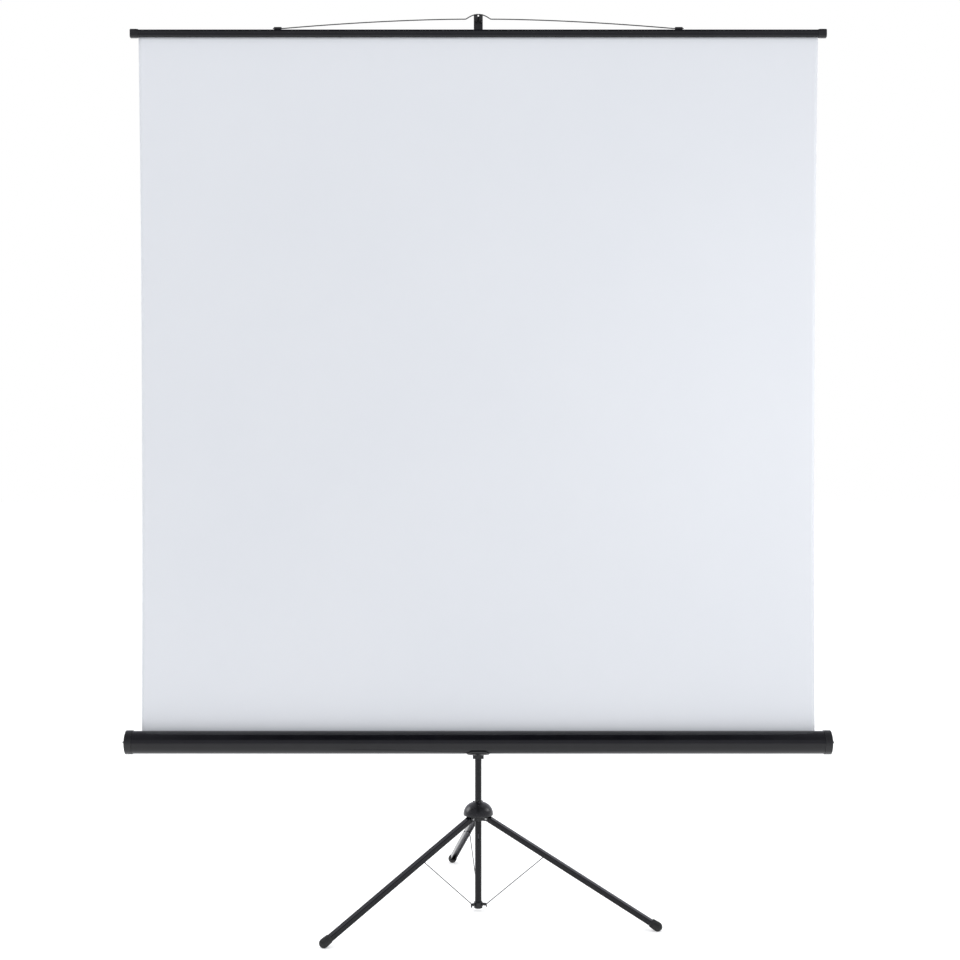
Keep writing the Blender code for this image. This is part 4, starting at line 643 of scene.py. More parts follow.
for side in SIDES:
    across = leg_axes[side][2]
    level = MAST_FOOT + PIVOT_LEVEL * Z
    for hand in (-1, 1):
        place = level + hand * (ear_aside + EAR_THICKNESS / 2) * across
        ears.append(slab(ear_outline, EAR_THICKNESS, place, outwards[side], Z))
    holes.append(round_bar(RIVET_RADIUS + GAP, -LEG_WIDTH, LEG_WIDTH, hub_pivots[side], across, 28))
    sixth = math.radians(60)
    screw_way = math.cos(sixth) * outwards[side] + math.sin(sixth) * np.cross(Z, outwards[side])
    screw_places[side] = MAST_FOOT + SCREW_CIRCLE * screw_way
    screw_end = core_high.z - SCREW_DEPTH
    holes.append(round_bar(SCREW_RADIUS + GAP, screw_end, core_high.z + 0.02, screw_places[side], Z))
core = carve(carve(turned(hub_profile, MAST_FOOT, Z, 64), ears, "UNION"), holes)
piece("hub_boss_with_ears", core, nylon, "black_plastic", "stand", "hub_core", edges=0.0002)

# Leg rivets
# Nickel-plated semi-tubular rivets through the ears and the leg, with low domed heads.
RIVET_HEAD = 0.0036
RIVET_CROWN = 0.0017
RIVET_EDGE = 0.0003
NICKEL_TONE = ((0.25, 0.25, 0.25), (0.34, 0.34, 0.34), (0.18, 0.30), 0.004)
bright_head = metal("nickel_plated_head", *NICKEL_TONE, (1.0, 1.0, 1.0))
rivet_half = ear_aside + EAR_THICKNESS + GAP
crown = np.radians(np.linspace(0, 90, 9))[:, None]
crown_height = rivet_half + RIVET_EDGE + (RIVET_CROWN - RIVET_EDGE) * np.sin(crown)
dome_points = np.concatenate((RIVET_HEAD * np.cos(crown) ** 0.8, crown_height), 1)
head_half = joined([(RIVET_RADIUS, rivet_half), (RIVET_HEAD, rivet_half)], dome_points)
rivet_profile = joined(head_half, head_half[::-1] * (1, -1))
for side in SIDES:
    rivet = turned(rivet_profile, hub_pivots[side], leg_axes[side][2], 36)
    piece(f"pivot_rivet_{side}", rivet, bright_head, "bare_steel", "stand", f"leg_rivet_{side}")

# Hub dome
# A deep black nylon cap over the boss, a little squarer than a half ellipse, held by three small screws.
DOME_RADIUS = 0.0404
DOME_HEIGHT = 0.0360
DOME_WALL = 0.0018
DOME_ROUNDNESS = 2.2
DOME_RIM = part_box("hub_dome")[0].z


def dome_line(radius, height, first, last):
    """Half of a superellipse, (r cos^k t, h sin^k t) with k = 2 / roundness, between two radii."""
    turn = np.linspace(0, np.pi / 2, 40)
    power = 2 / DOME_ROUNDNESS
    line = np.stack((radius * np.cos(turn) ** power, height * np.sin(turn) ** power), 1)
    line = line[(line[:, 0] > first) & (line[:, 0] <= last)]
    share = min(1.0, first / radius) ** DOME_ROUNDNESS
    return joined(line, [(first, height * (1 - share) ** (1 / DOME_ROUNDNESS))])


outer_line = dome_line(DOME_RADIUS, DOME_HEIGHT, neck_radius, DOME_RADIUS)
inner_line = dome_line(DOME_RADIUS - DOME_WALL, DOME_HEIGHT - DOME_WALL, neck_radius, DOME_RADIUS)
rim_line = arc((DOME_RADIUS - DOME_WALL / 2, 0.0), DOME_WALL / 2, 180, 360, 8)[1:-1] + (0, DOME_WALL / 2)
outer_line[0, 1] = DOME_WALL / 2
inner_line[0, 1] = DOME_WALL / 2
dome_profile = joined(outer_line, inner_line[::-1], rim_line) + (0, DOME_RIM)
screw_holes = []
for side in SIDES:
    screw_holes.append(round_bar(SCREW_RADIUS + GAP, DOME_RIM, DOME_RIM + 0.06, screw_places[side], Z))
dome = carve(turned(dome_profile, MAST_FOOT, Z, 96), screw_holes)
piece("hub_dome_cap", dome, nylon, "black_plastic", "stand", "hub_dome", sharp=50)

# Hub screws
# Small pan-head screws of blackened steel, with a cross recess.
SCREW_HEAD = 0.0016
PAN_ROUND = 0.0011
RECESS_DEPTH = 0.0008
RECESS_ARMS = ((0.0013, 0.00025), (0.00025, 0.0013))
for side in SIDES:
    low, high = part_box(f"hub_screw_{side}")
    head_radius = half_size(f"hub_screw_{side}", "x")
    seat = high.z - SCREW_HEAD
    pan = arc((head_radius - PAN_ROUND, seat + 0.0002), PAN_ROUND, 0, 90, 6)
    screw_profile = joined(
        [(0, low.z), (SCREW_RADIUS * 0.5, low.z), (SCREW_RADIUS, low.z + 0.0010), (SCREW_RADIUS, seat)],
        [(head_radius, seat)], pan, [(head_radius * 0.4, high.z - 0.0001), (0, high.z)],
    )
    place = screw_places[side]
    recess = []
    for wide, deep in RECESS_ARMS:
        recess.append(plate(box_about(wide, deep), high.z - RECESS_DEPTH, high.z + 0.001, place, X, Y, 0))
    screw = carve(turned(screw_profile, place, Z, 28), recess)
    piece(f"dome_screw_{side}", screw, blackened, "bare_steel", "stand", f"hub_screw_{side}")

# Outer mast tube
# The same enamelled steel tube one size up; it slides on the lower tube and carries the case.
OUTER_RADIUS = half_size("outer_tube", "x")
piece("mast_tube_outer", mast_tube("outer_tube", 64), enamel, "black_paint", "mast", "outer_tube")

# Clamp collar
# A black nylon socket on the end of the outer tube, square outside with round corners, and with a boss at
# the back for the clamp screw.
COLLAR_STEP = 0.0133
COLLAR_CORNER = 0.0030
BOSS_SIZE = 0.0065
BOSS_REACH = 0.0185
CLAMP_SCREW = 0.0028
clamp_low, clamp_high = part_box("mast_collar")
COLLAR_HALF = half_size("mast_collar", "x")
clamp_level = middle("mast_lock_knob", "z")
clamp_outline = rounded(box_about(COLLAR_HALF, COLLAR_HALF), COLLAR_CORNER, 6)
clamp_block = plate(clamp_outline, clamp_low.z, clamp_high.z, MAST_FOOT, X, Y, 0.0003)
clamp_shoulder = clamp_low.z + COLLAR_STEP
clamp_ends = (clamp_low.z - BEYOND, clamp_high.z + BEYOND)
clamp_bore = round_bar(OUTER_RADIUS - TUBE_WALL, *clamp_ends, MAST_FOOT, Z, 56)
clamp_seat = round_bar(OUTER_RADIUS + GAP, clamp_shoulder, clamp_high.z + BEYOND, MAST_FOOT, Z, 56)
clamp_axis = MAST_FOOT + clamp_level * Z
clamp_boss_line = rounded(box_line(0, OUTER_RADIUS + 0.0015, BOSS_SIZE, BOSS_REACH), (0, 0, 0.0006, 0))
clamp_boss = turned(clamp_boss_line, clamp_axis, Y, 36)
clamp_hole = round_bar(CLAMP_SCREW + GAP, TUBE_RADIUS * 0.6, BOSS_REACH * 1.5, clamp_axis, Y)
clamp = carve(carve(clamp_block, [clamp_boss], "UNION"), [clamp_bore, clamp_seat, clamp_hole])
piece("clamp_socket", clamp, nylon, "black_plastic", "mast", "mast_collar", edges=0.0002)

# Clamp knob and its screw
# A five-lobed black knob moulded round the head of a plated screw, with a dished face and soft edges.
KNOB_RADIUS = 0.0128
KNOB_LOBE = 0.0014
KNOB_LOBES = 5
KNOB_THICKNESS = 0.0120
KNOB_BACK_ROUND = 0.0012
KNOB_FACE_ROUND = 0.0026
KNOB_DISH = ((0.70, 0.0004), (0.55, 0.0012), (0.25, 0.0014))
knob_start = BOSS_REACH + GAP
turn = np.arange(120) * 2 * np.pi / 120
reach = KNOB_RADIUS + KNOB_LOBE * np.cos(KNOB_LOBES * turn)
soft = np.radians(np.linspace(0, 90, 6))
knob_end = knob_start + KNOB_THICKNESS
levels = joined(
    knob_start + KNOB_BACK_ROUND * (1 - np.cos(soft)),
    knob_end - KNOB_FACE_ROUND * (1 - np.sin(soft[::-1])), [knob_end - depth for share, depth in KNOB_DISH],
)
shares = joined(
    0.90 + 0.10 * np.sin(soft), 0.80 + 0.20 * np.sin(soft[::-1]), [share for share, depth in KNOB_DISH]
)
circle = np.stack((np.cos(turn), np.zeros(120), np.sin(turn)), 1)
blend = np.clip((shares - 0.4) / 0.6, 0, 1)[:, None]
size = shares[:, None] * (KNOB_RADIUS + blend * (reach - KNOB_RADIUS)[None, :])
knob_points = clamp_axis + size[:, :, None] * circle[None] + levels[:, None, None] * Y
piece("clamp_knob", skin(knob_points), nylon, "black_plastic", "lock_knob", "mast_lock_knob", sharp=60)


def thread(radius, depth, start, end, step):
    """The outline of a thread along a screw: its crests and roots by turns, a step apart."""
    along = np.arange(start, end, step)
    return np.stack((radius - depth * (1 + np.cos(np.pi * np.arange(len(along)))), along), 1)


screw_start = TUBE_RADIUS + GAP
head_end = knob_start + 0.0020
screw_line = joined(
    [(0, screw_start), (CLAMP_SCREW * 0.7, screw_start)],
    thread(CLAMP_SCREW, 0.00018, screw_start + 0.0010, knob_start - 0.0004, 0.00025),
    [(CLAMP_SCREW, head_end), (0, head_end)],
)
piece("clamp_screw", turned(screw_line, clamp_axis, Y, 28), plated, "bare_steel", "lock_knob", sharp=60)

# Case bracket
# A glass-filled nylon moulding: a sleeve on the outer tube, and a round plate in front of it on two ribs,
# which the case swivels against.
CASE_Y = middle("case_shell", "y")
CASE_LEVEL = middle("case_cap_left", "z")
CASE_OFFSET = MAST_FOOT[1] - CASE_Y
SLEEVE_RADIUS = 0.0140
SLEEVE_HEIGHT = 0.0545
PLATE_RADIUS = 0.0210
PLATE_THICKNESS = 0.0050
PLATE_BACK = 0.0247
RIB_INSIDE = 0.0100
RIB_THICKNESS = 0.0040
RIB_BACK = 0.0060
BOLT_RADIUS = 0.0040
sleeve_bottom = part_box("case_bracket")[0].z
swivel = MAST_FOOT + CASE_LEVEL * Z
sleeve_top = sleeve_bottom + SLEEVE_HEIGHT
sleeve_lips = (0.0008, 0.0014, 0.0003, 0.0003)
sleeve_line = pipe(SLEEVE_RADIUS, OUTER_RADIUS + GAP, sleeve_bottom, sleeve_top, sleeve_lips, 4)
sleeve = turned(sleeve_line, MAST_FOOT, Z, 64)
disc_line = box_line(0, PLATE_BACK, PLATE_RADIUS, PLATE_BACK + PLATE_THICKNESS)
disc = turned(rounded(disc_line, (0, 0.0012, 0.0006, 0)), swivel, -Y, 64)
ribs = []
rib_front = PLATE_BACK + PLATE_THICKNESS / 2
rib_rise = PLATE_RADIUS * 0.65
rib_outline = box_line(-rib_front, CASE_LEVEL - rib_rise, -RIB_BACK, CASE_LEVEL + rib_rise)
for hand in (-1, 1):
    rib_middle = MAST_FOOT + hand * (RIB_INSIDE + RIB_THICKNESS / 2) * X
    ribs.append(slab(rib_outline, RIB_THICKNESS, rib_middle, Y, Z, 0.0006))
hole_end = PLATE_BACK + PLATE_THICKNESS * 2
bolt_hole = round_bar(BOLT_RADIUS + GAP, PLATE_BACK - PLATE_THICKNESS, hole_end, swivel, -Y, 36)
tube_hole = round_bar(OUTER_RADIUS + GAP, sleeve_bottom - BEYOND, sleeve_top + BEYOND, MAST_FOOT, Z, 64)
bracket = carve(carve(sleeve, [disc, *ribs], "UNION"), [bolt_hole, tube_hole])
piece("case_carrier", bracket, nylon, "black_plastic", "mast", "case_bracket", edges=0.0003)

# Case saddle
# A nylon clamp that wraps under and behind the case, with a flat-backed block for the swivel bolt. Its
# front lip is a rounded tongue, and it thins to both ends.
CASE_RADIUS = 0.0305
SADDLE_LENGTH = 0.0600
SADDLE_WALL = 0.0030
SADDLE_BLOCK = 0.0300
SADDLE_EDGE = 0.0008
SADDLE_TAPER = 0.0120
TONGUE_HALF = 0.0180
TONGUE_ANGLE = -140
TONGUE_FALL = 30
HEAD_RADIUS = 0.0075
HEAD_THICKNESS = 0.0030
case_middle = np.array((0.0, CASE_Y, CASE_LEVEL))
saddle_inner = CASE_RADIUS + GAP
saddle_outer = saddle_inner + SADDLE_WALL
saddle_back = CASE_OFFSET - PLATE_BACK - PLATE_THICKNESS - GAP
block_angle = math.degrees(math.asin(SADDLE_BLOCK / 2 / saddle_outer))
taper = np.radians(np.linspace(0, 90, 12))
thin_x = joined([0.0], 0.0002 + SADDLE_TAPER * (1 - np.cos(taper)))
thin_wall = joined([0.0005], SADDLE_EDGE + (SADDLE_WALL - SADDLE_EDGE) * np.sin(taper))
saddle_x = joined(-SADDLE_LENGTH / 2 + thin_x, (SADDLE_LENGTH / 2 - thin_x)[::-1])
saddle_wall = joined(thin_wall, thin_wall[::-1])
saddle_rows = []
for x, wall in zip(saddle_x, saddle_wall):
    lip = arc((saddle_inner + wall / 2, 0), wall / 2, 180, 0, 8)[1:-1]
    beside_tongue = max(0.0, abs(x) - TONGUE_HALF) / (SADDLE_LENGTH / 2 - TONGUE_HALF)
    lip_angle = TONGUE_ANGLE + TONGUE_FALL * (1 - math.cos(math.pi / 2 * beside_tongue))
    lip_turn = math.radians(lip_angle)
    wrap_inner = arc((0, 0), saddle_inner, block_angle, lip_angle, 60)
    wrap_way = arc((0, 0), 1.0, lip_angle, -block_angle, 44)
    lip_out = lip[:, :1] * (math.cos(lip_turn), math.sin(lip_turn))
    lip_aside = lip[:, 1:] * (math.sin(lip_turn), -math.cos(lip_turn))
    block = [(saddle_back, -SADDLE_BLOCK / 2), (saddle_back, SADDLE_BLOCK / 2)]
    section = joined(wrap_inner, lip_out + lip_aside, wrap_way * (saddle_inner + wall), block)
    saddle_rows.append(case_middle + x * X + section[:, :1] * Y + section[:, 1:] * Z)
saddle = skin(np.array(saddle_rows))
head_seat = saddle_inner + GAP + HEAD_THICKNESS + GAP
head_hole = round_bar(HEAD_RADIUS + GAP, 0, head_seat, case_middle, Y, 40)
shank_hole = round_bar(BOLT_RADIUS + GAP, saddle_back / 2, saddle_back * 1.5, case_middle, Y, 32)
piece(
    "case_clamp", carve(saddle, [head_hole, shank_hole]), nylon, "black_plastic",
    "case", "case_saddle", edges=0.0003,
)

# Swivel bolt and nut
# A plated machine bolt through saddle and bracket, its flat head in the saddle and a hexagon nut behind.
NUT_FLATS = 0.0130
bolt_low, bolt_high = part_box("swivel_bolt")
nut_low, nut_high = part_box("swivel_nut")
bolt_start = bolt_low.y - CASE_Y
bolt_end = bolt_high.y - CASE_Y
thread_start = bolt_start + HEAD_THICKNESS + 0.0080
bolt_line = joined(
    [(0, bolt_start), (HEAD_RADIUS - 0.0005, bolt_start), (HEAD_RADIUS, bolt_start + 0.0005)],
    [(HEAD_RADIUS, bolt_start + HEAD_THICKNESS), (BOLT_RADIUS, bolt_start + HEAD_THICKNESS)],
    thread(BOLT_RADIUS, 0.00016, thread_start, bolt_end - 0.0008, 0.0005),
    [(BOLT_RADIUS - 0.0008, bolt_end), (0, bolt_end)],
)
piece("swivel_screw", turned(bolt_line, case_middle, Y, 40), plated, "bare_steel", "case", "swivel_bolt")
nut_start = nut_low.y - CASE_Y
nut_end = nut_high.y - CASE_Y
hexagon = arc((0, 0), NUT_FLATS / math.sqrt(3), 0, 300, 6)
nut_blank = plate(hexagon, nut_start, nut_end, case_middle, Z, X, 0)
chamfer = NUT_FLATS / 2 * 0.98
peak = NUT_FLATS / math.sqrt(3) + 0.0002
drop = (peak - chamfer) * 0.5
nut_dome = turned(
    (
        (0, nut_start), (chamfer, nut_start), (peak, nut_start + drop), (peak, nut_end - drop),
        (chamfer, nut_end), (0, nut_end),
    ),
    case_middle,
    Y,
    64,
)
nut_hole = round_bar(BOLT_RADIUS + GAP, nut_start - BEYOND, nut_end + BEYOND, case_middle, Y, 32)
nut = carve(carve(nut_blank, [nut_dome], "INTERSECT"), [nut_hole])
piece("swivel_locknut", nut, plated, "bare_steel", "case", "swivel_nut")

# Case shell
# A long round case rolled from thin sheet steel and enamelled, open along a slot at its upper rear, whose
# edges are turned in so that they don't mark the sheet.
CASE_WALL = 0.0010
CASE_SLOT = 0.0070
SHEET_ASIDE = 0.01745
LIP_DEPTH = 0.0026
shell_low, shell_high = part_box("case_shell")
slot_angle = math.degrees(math.acos(SHEET_ASIDE / CASE_RADIUS))
slot_half = math.degrees(math.asin(CASE_SLOT / 2 / CASE_RADIUS)) / math.sin(math.radians(slot_angle))
middle_radius = CASE_RADIUS - CASE_WALL / 2
lip_bend = 0.0010
room = math.degrees((lip_bend + CASE_WALL / 2) / middle_radius)
front_edge = slot_angle + slot_half + room
rear_edge = slot_angle - slot_half - room + 360
round_part = arc((0, 0), middle_radius, front_edge, rear_edge, 110)
turn = np.radians(np.linspace(0, 90, 7))[1:, None]
lips = []
for corner, way in ((round_part[0], 1), (round_part[-1], -1)):
    inward = -corner / middle_radius
    beyond = way * np.array((-inward[1], inward[0]))
    curved = corner + lip_bend * np.sin(turn) * beyond + lip_bend * (1 - np.cos(turn)) * inward
    straight = curved[-1] + inward * (LIP_DEPTH - CASE_WALL / 2 - lip_bend)
    lips.append(joined(curved, [straight]))
shell_path = joined(lips[0][::-1], round_part, lips[1])
shell = plate(strip(shell_path, CASE_WALL), shell_low.x, shell_high.x, case_middle, Y, Z, 0.0002, 2)
case_enamel = material("polished_black_enamel", *ENAMEL_TONE, relief, ENAMEL_PEEL, Specular_IOR_Level=0.36)
piece("case_tube", shell, case_enamel, "black_paint", "case", "case_shell", sharp=40)

# Case caps
# Moulded nylon ends that push over the shell, with a shallow cone outside, a nub at its middle, and a
# bearing boss inside for the roller.
CAP_FACE = 0.0080
CAP_OVERLAP = 0.0150
CAP_NUB = 0.0028
NUB_HEIGHT = 0.0050
PIN_RADIUS = 0.0040
ROLLER_END = 0.9040
for side, way in (("left", -X), ("right", X)):
    low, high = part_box(f"case_cap_{side}")
    cap_radius = half_size(f"case_cap_{side}", "z")
    cap_end = max(abs(low.x), abs(high.x))
    cap_half = cap_end - NUB_HEIGHT
    cap_mouth = cap_half - CAP_FACE - CAP_OVERLAP
    bearing = ROLLER_END + 0.0010
    corners = (
        (0, cap_end), (CAP_NUB, cap_end), (CAP_NUB, cap_half - 0.0001),
        (CASE_RADIUS * 0.35, cap_half - 0.0003), (CASE_RADIUS * 0.80, cap_half - 0.0022),
        (cap_radius, cap_half - 0.0046), (cap_radius, cap_mouth), (CASE_RADIUS + GAP, cap_mouth),
        (CASE_RADIUS + GAP, cap_half - CAP_FACE), (PIN_RADIUS * 2.2, cap_half - CAP_FACE),
        (PIN_RADIUS * 2.0, bearing), (PIN_RADIUS + GAP, bearing),
        (PIN_RADIUS + GAP, cap_half - CAP_FACE * 0.5), (0, cap_half - CAP_FACE * 0.5),
    )
    radii = (
        0, 0.0009, 0.0006, 0.0010, 0.0020, 0.0016, 0.0005,
        0.0003, 0.0003, 0.0010, 0.0004, 0.0004, 0.0001, 0,
    )
    cap = turned(rounded(corners, radii, 5), case_middle, way, 96)
    piece(f"case_end_cap_{side}", cap, nylon, "black_plastic", "case", f"case_cap_{side}")

# Roller
# A rolled and plated steel tube that the sheet winds on, with a black nylon plug in each end. A spring
# wound on a fixed arbor inside pulls it round.
ROLLER_RADIUS = 0.0160
ROLLER_WALL = 0.0012
plated_lengthways = metal("zinc_plated_roller", *PLATE_TONE, (0.02, 1.0, 1.0))
roller_low, roller_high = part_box("roller_tube")
roller_line = pipe(ROLLER_RADIUS, ROLLER_RADIUS - ROLLER_WALL, roller_low.x, roller_high.x)
piece(
    "roller_barrel", turned(roller_line, case_middle, X, 64), plated_lengthways, "bare_steel",
    "roller", "roller_tube",
)
plug_radius = ROLLER_RADIUS - ROLLER_WALL - GAP
left_low, left_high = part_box("roller_plug_left")
left_plug = rounded(
    (
        (0, -left_low.x), (PIN_RADIUS, -left_low.x), (PIN_RADIUS, ROLLER_END + 0.0007),
        (plug_radius, ROLLER_END + 0.0003), (plug_radius, -left_high.x), (0, -left_high.x),
    ),
    (0, 0.0006, 0.0002, 0.0002, 0.0012, 0),
)
piece(
    "roller_end_left", turned(left_plug, case_middle, -X, 48), nylon, "black_plastic",
    "roller", "roller_plug_left",
)
right_low, right_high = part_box("roller_plug_right")
right_lips = (0.0012, 0.0004, 0.0003, 0.0003)
right_plug = pipe(plug_radius, PIN_RADIUS + GAP, right_low.x, right_high.x, right_lips, 4)
piece(
    "roller_end_right", turned(right_plug, case_middle, X, 48), nylon, "black_plastic",
    "roller", "roller_plug_right",
)

# Spring arbor and roller spring
# A plated steel rod held still by the right cap, with the long torsion spring wound on it.
SPRING_WIRE = 0.0022
SPRING_PITCH = 0.0026
arbor_low, arbor_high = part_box("spring_arbor")
arbor_line = rounded(box_line(0, arbor_low.x, PIN_RADIUS, arbor_high.x), (0, 0.0008, 0.0008, 0))
piece(
    "spring_shaft", turned(arbor_line, case_middle, X, 32), plated, "bare_steel",
    "case", "spring_arbor",
)


def coil(centre, axis, side, radius, wire, start, end, pitch, steps=18, sides=8):
    """A wound spring: its wire's middle goes round the axis at the radius and rises by the pitch each turn.

    Round that line goes the circle w * (cos s * outwards + sin s * axis).
    """
    turns = (end - start) / pitch
    angle = np.linspace(0, turns * 2 * np.pi, int(turns * steps) + 1)
    outward = np.outer(np.cos(angle), side) + np.outer(np.sin(angle), np.cross(axis, side))
    line = centre + radius * outward + (start + pitch * angle / (2 * np.pi))[:, None] * axis
    ring = np.arange(sides) * 2 * np.pi / sides
    section = np.cos(ring)[None, :, None] * outward[:, None] + np.sin(ring)[None, :, None] * axis
    return skin(line[:, None] + wire * section)


spring_low, spring_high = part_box("roller_spring")
half_wire = SPRING_WIRE / 2
spring_reach = (spring_low.x + half_wire, spring_high.x - half_wire)
spring = coil(case_middle, X, Y, PIN_RADIUS + GAP + half_wire, half_wire, *spring_reach, SPRING_PITCH)
piece("rewind_spring", spring, plated, "bare_steel", "case", "roller_spring", sharp=80)

# Sheet
# Matt white projection fabric, a fibre cloth coated on both sides, with a plain greyer back. It comes off
# the rear of the roller, through the slot and straight up, and its hem goes round a rod in the top bar.
SHEET_WIDTH = 1.800
SHEET_THICKNESS = 0.0005
HEM_LOOP = 0.00295
CASE_SHARE = 0.035
CASE_HOLD = 0.25
BAR_HOLD = 0.30
EDGE_CURL = 0.0035
CURL_WIDTH = 0.030
NECK_IN = 0.0047
WAVES = ((0.0011, 9.0, 1.3, 0.6), (0.0008, 15.0, -2.1, 2.0), (0.0005, 5.0, 7.0, 0.0))
rod_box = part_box("hem_rod")
hem_level = middle("hem_rod", "z")
SHEET_Y = CASE_Y + SHEET_ASIDE
CLOTH_COLUMNS = 181
CLOTH_ROWS = 220
across_share = np.linspace(-1, 1, CLOTH_COLUMNS)
loop = np.radians(np.linspace(-90, 235, 18))
rise_line = np.linspace(CASE_LEVEL, hem_level - HEM_LOOP, CLOTH_ROWS)
cloth_z = joined(rise_line, hem_level + HEM_LOOP * np.sin(loop[1:]))
cloth_back = joined(np.zeros(CLOTH_ROWS), HEM_LOOP * np.cos(loop[1:]))
rise = joined(np.linspace(0, 1, CLOTH_ROWS), np.ones(len(loop) - 1))
run = joined([0], np.cumsum(np.hypot(np.diff(cloth_z), np.diff(cloth_back))))

# It hangs nearly flat and is held even at its foot and hem: between them it has faint upright waves, its
# edges curl back a little, and its sides are drawn in at half its height
u, v = np.meshgrid(across_share, rise, indexing="ij")
hold = np.clip((v - CASE_SHARE) / CASE_HOLD, 0, 1)
hold = hold * hold * (3 - 2 * hold)
top_hold = np.clip((1 - v) / BAR_HOLD, 0, 1)
free = hold * top_hold * top_hold * (3 - 2 * top_hold)
wave = sum(height * np.sin(wide * u + tall * v + start) for height, wide, tall, start in WAVES)
edge = (1 - np.abs(u)) * SHEET_WIDTH / 2
curl = EDGE_CURL * np.exp(-edge / CURL_WIDTH) * free
back = SHEET_Y + cloth_back[None] + wave * free + curl
neck_in = 1 - NECK_IN * 4 * v * (1 - v)
cloth = np.stack((u * SHEET_WIDTH / 2 * neck_in, back, np.broadcast_to(cloth_z, u.shape)), -1)
columns, rows = u.shape
i, j = np.meshgrid(np.arange(columns - 1), np.arange(rows - 1), indexing="ij")
first = i * rows + j
cloth_faces = np.stack((first, first + rows, first + rows + 1, first + 1), -1).reshape(-1, 4)
cloth_mesh = bpy.data.meshes.new("projection_cloth")
cloth_mesh.from_pydata(cloth.reshape(-1, 3).tolist(), [], cloth_faces.tolist())
flat_place = np.stack((u * SHEET_WIDTH / 2, np.broadcast_to(run, u.shape)), -1).reshape(-1, 2)
cloth_map = cloth_mesh.uv_layers.new(name="cloth")
cloth_map.data.foreach_set("uv", flat_place[cloth_faces.reshape(-1)].reshape(-1))
cloth_mesh.shade_smooth()

# Cloth grain: crossed threads of one pitch under a coating, from the cloth's own map, in metres
grain_inputs = {"Pitch": 0.0007, "Depth": 0.00002, "Pebble": 0.00002}
grain, put, out = effect("cloth_grain", grain_inputs, {"Height": "Float"})
flat = node(grain, "UVMap", uv_map="cloth").outputs[0]
flat_axes = node(grain, "SeparateXYZ", {0: flat}).outputs
waves = []
for axis in ("X", "Y"):
    turns = worked(grain, "DIVIDE", flat_axes[axis], put["Pitch"])
    waves.append(worked(grain, "SINE", worked(grain, "MULTIPLY", turns, math.pi)))
threads = worked(grain, "MULTIPLY", worked(grain, "MULTIPLY", *waves), put["Depth"])
coating = node(grain, "TexNoise", {"Vector": flat, "Scale": 900.0, "Detail": 3.0})
pebbles = worked(grain, "MULTIPLY", coating.outputs["Fac"], put["Pebble"])
grain.links.new(worked(grain, "ADD", threads, pebbles), out["Height"])
WHITE_TONE = ((0.775, 0.795, 0.835), (0.790, 0.808, 0.845), (0.78, 0.88), 0.5)
BACK_TONE = ((0.61, 0.61, 0.62), (0.63, 0.63, 0.64), (0.80, 0.90), 0.3)
white_front = material("matt_white_coating", *WHITE_TONE, grain, {"Depth": 0.00001}, Sheen_Weight=0.05)
grey_back = material("pale_grey_backing", *BACK_TONE, grain, {"Depth": 0.00004})
cloth_mesh.materials.append(white_front)
cloth_mesh.materials.append(grey_back)
screen_cloth = bpy.data.objects.new("projection_cloth", cloth_mesh)
bpy.context.scene.collection.objects.link(screen_cloth)
body = screen_cloth.modifiers.new("thickness", "SOLIDIFY")
body.thickness = SHEET_THICKNESS
body.offset = 0.0
body.material_offset = 1
body.material_offset_rim = 0
thick = bpy.data.meshes.new_from_object(screen_cloth.evaluated_get(bpy.context.evaluated_depsgraph_get()))
screen_cloth.modifiers.clear()
screen_cloth.data = thick
thick.name = "projection_cloth"
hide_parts("sheet")

# The last turns of the sheet stay wound on the roller, in a spiral that ends where the free cloth begins
WRAP_TURNS = 1.6
turn = np.linspace(-WRAP_TURNS * 2 * np.pi, 0, 90)
wound = np.linspace(ROLLER_RADIUS + GAP, SHEET_ASIDE - SHEET_THICKNESS, 90)
spiral = np.stack((wound * np.cos(turn), wound * np.sin(turn)), 1)
wrap = slab(strip(spiral, 0.00035), SHEET_WIDTH, case_middle, Y, Z, 0.00005, 1)
WOUND_GRAIN = {"Size": 0.0008, "Depth": 0.00003, "Detail": 3.0}
wound_white = material("wound_white_cloth", *WHITE_TONE, relief, WOUND_GRAIN)
piece("wound_cloth", wrap, wound_white, "matte_white", "roller", "sheet_roll")

# Top bar
# A black enamelled steel section, drawn round a keyhole slot that holds the sheet's hem, with a shallow
# groove along its front and back.
BAR_DEPTH = 0.0160
BAR_HEIGHT = 0.0200
BAR_CORNER = 0.0050
BAR_SLOT = 0.0016
BAR_CAVITY = 0.0034
bar_low, bar_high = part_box("top_bar")
BAR_LEVEL = middle("top_bar", "z")
bar_middle = np.array((0.0, SHEET_Y, BAR_LEVEL))
cavity = hem_level - BAR_LEVEL
slot_turn = math.degrees(math.asin(BAR_SLOT / 2 / BAR_CAVITY))
side_y = BAR_DEPTH / 2 - BAR_CORNER
side_z = BAR_HEIGHT / 2 - BAR_CORNER
GROOVE_DEPTH = 0.0006
GROOVE_TOP = 0.0028
GROOVE_HEIGHT = 0.0026
groove_share = np.linspace(0, 1, 14)
groove_z = GROOVE_TOP - GROOVE_HEIGHT * groove_share
groove_in = GROOVE_DEPTH * np.sin(np.pi * groove_share**2.2) ** 2
right_groove = np.stack((BAR_DEPTH / 2 - groove_in, groove_z), 1)
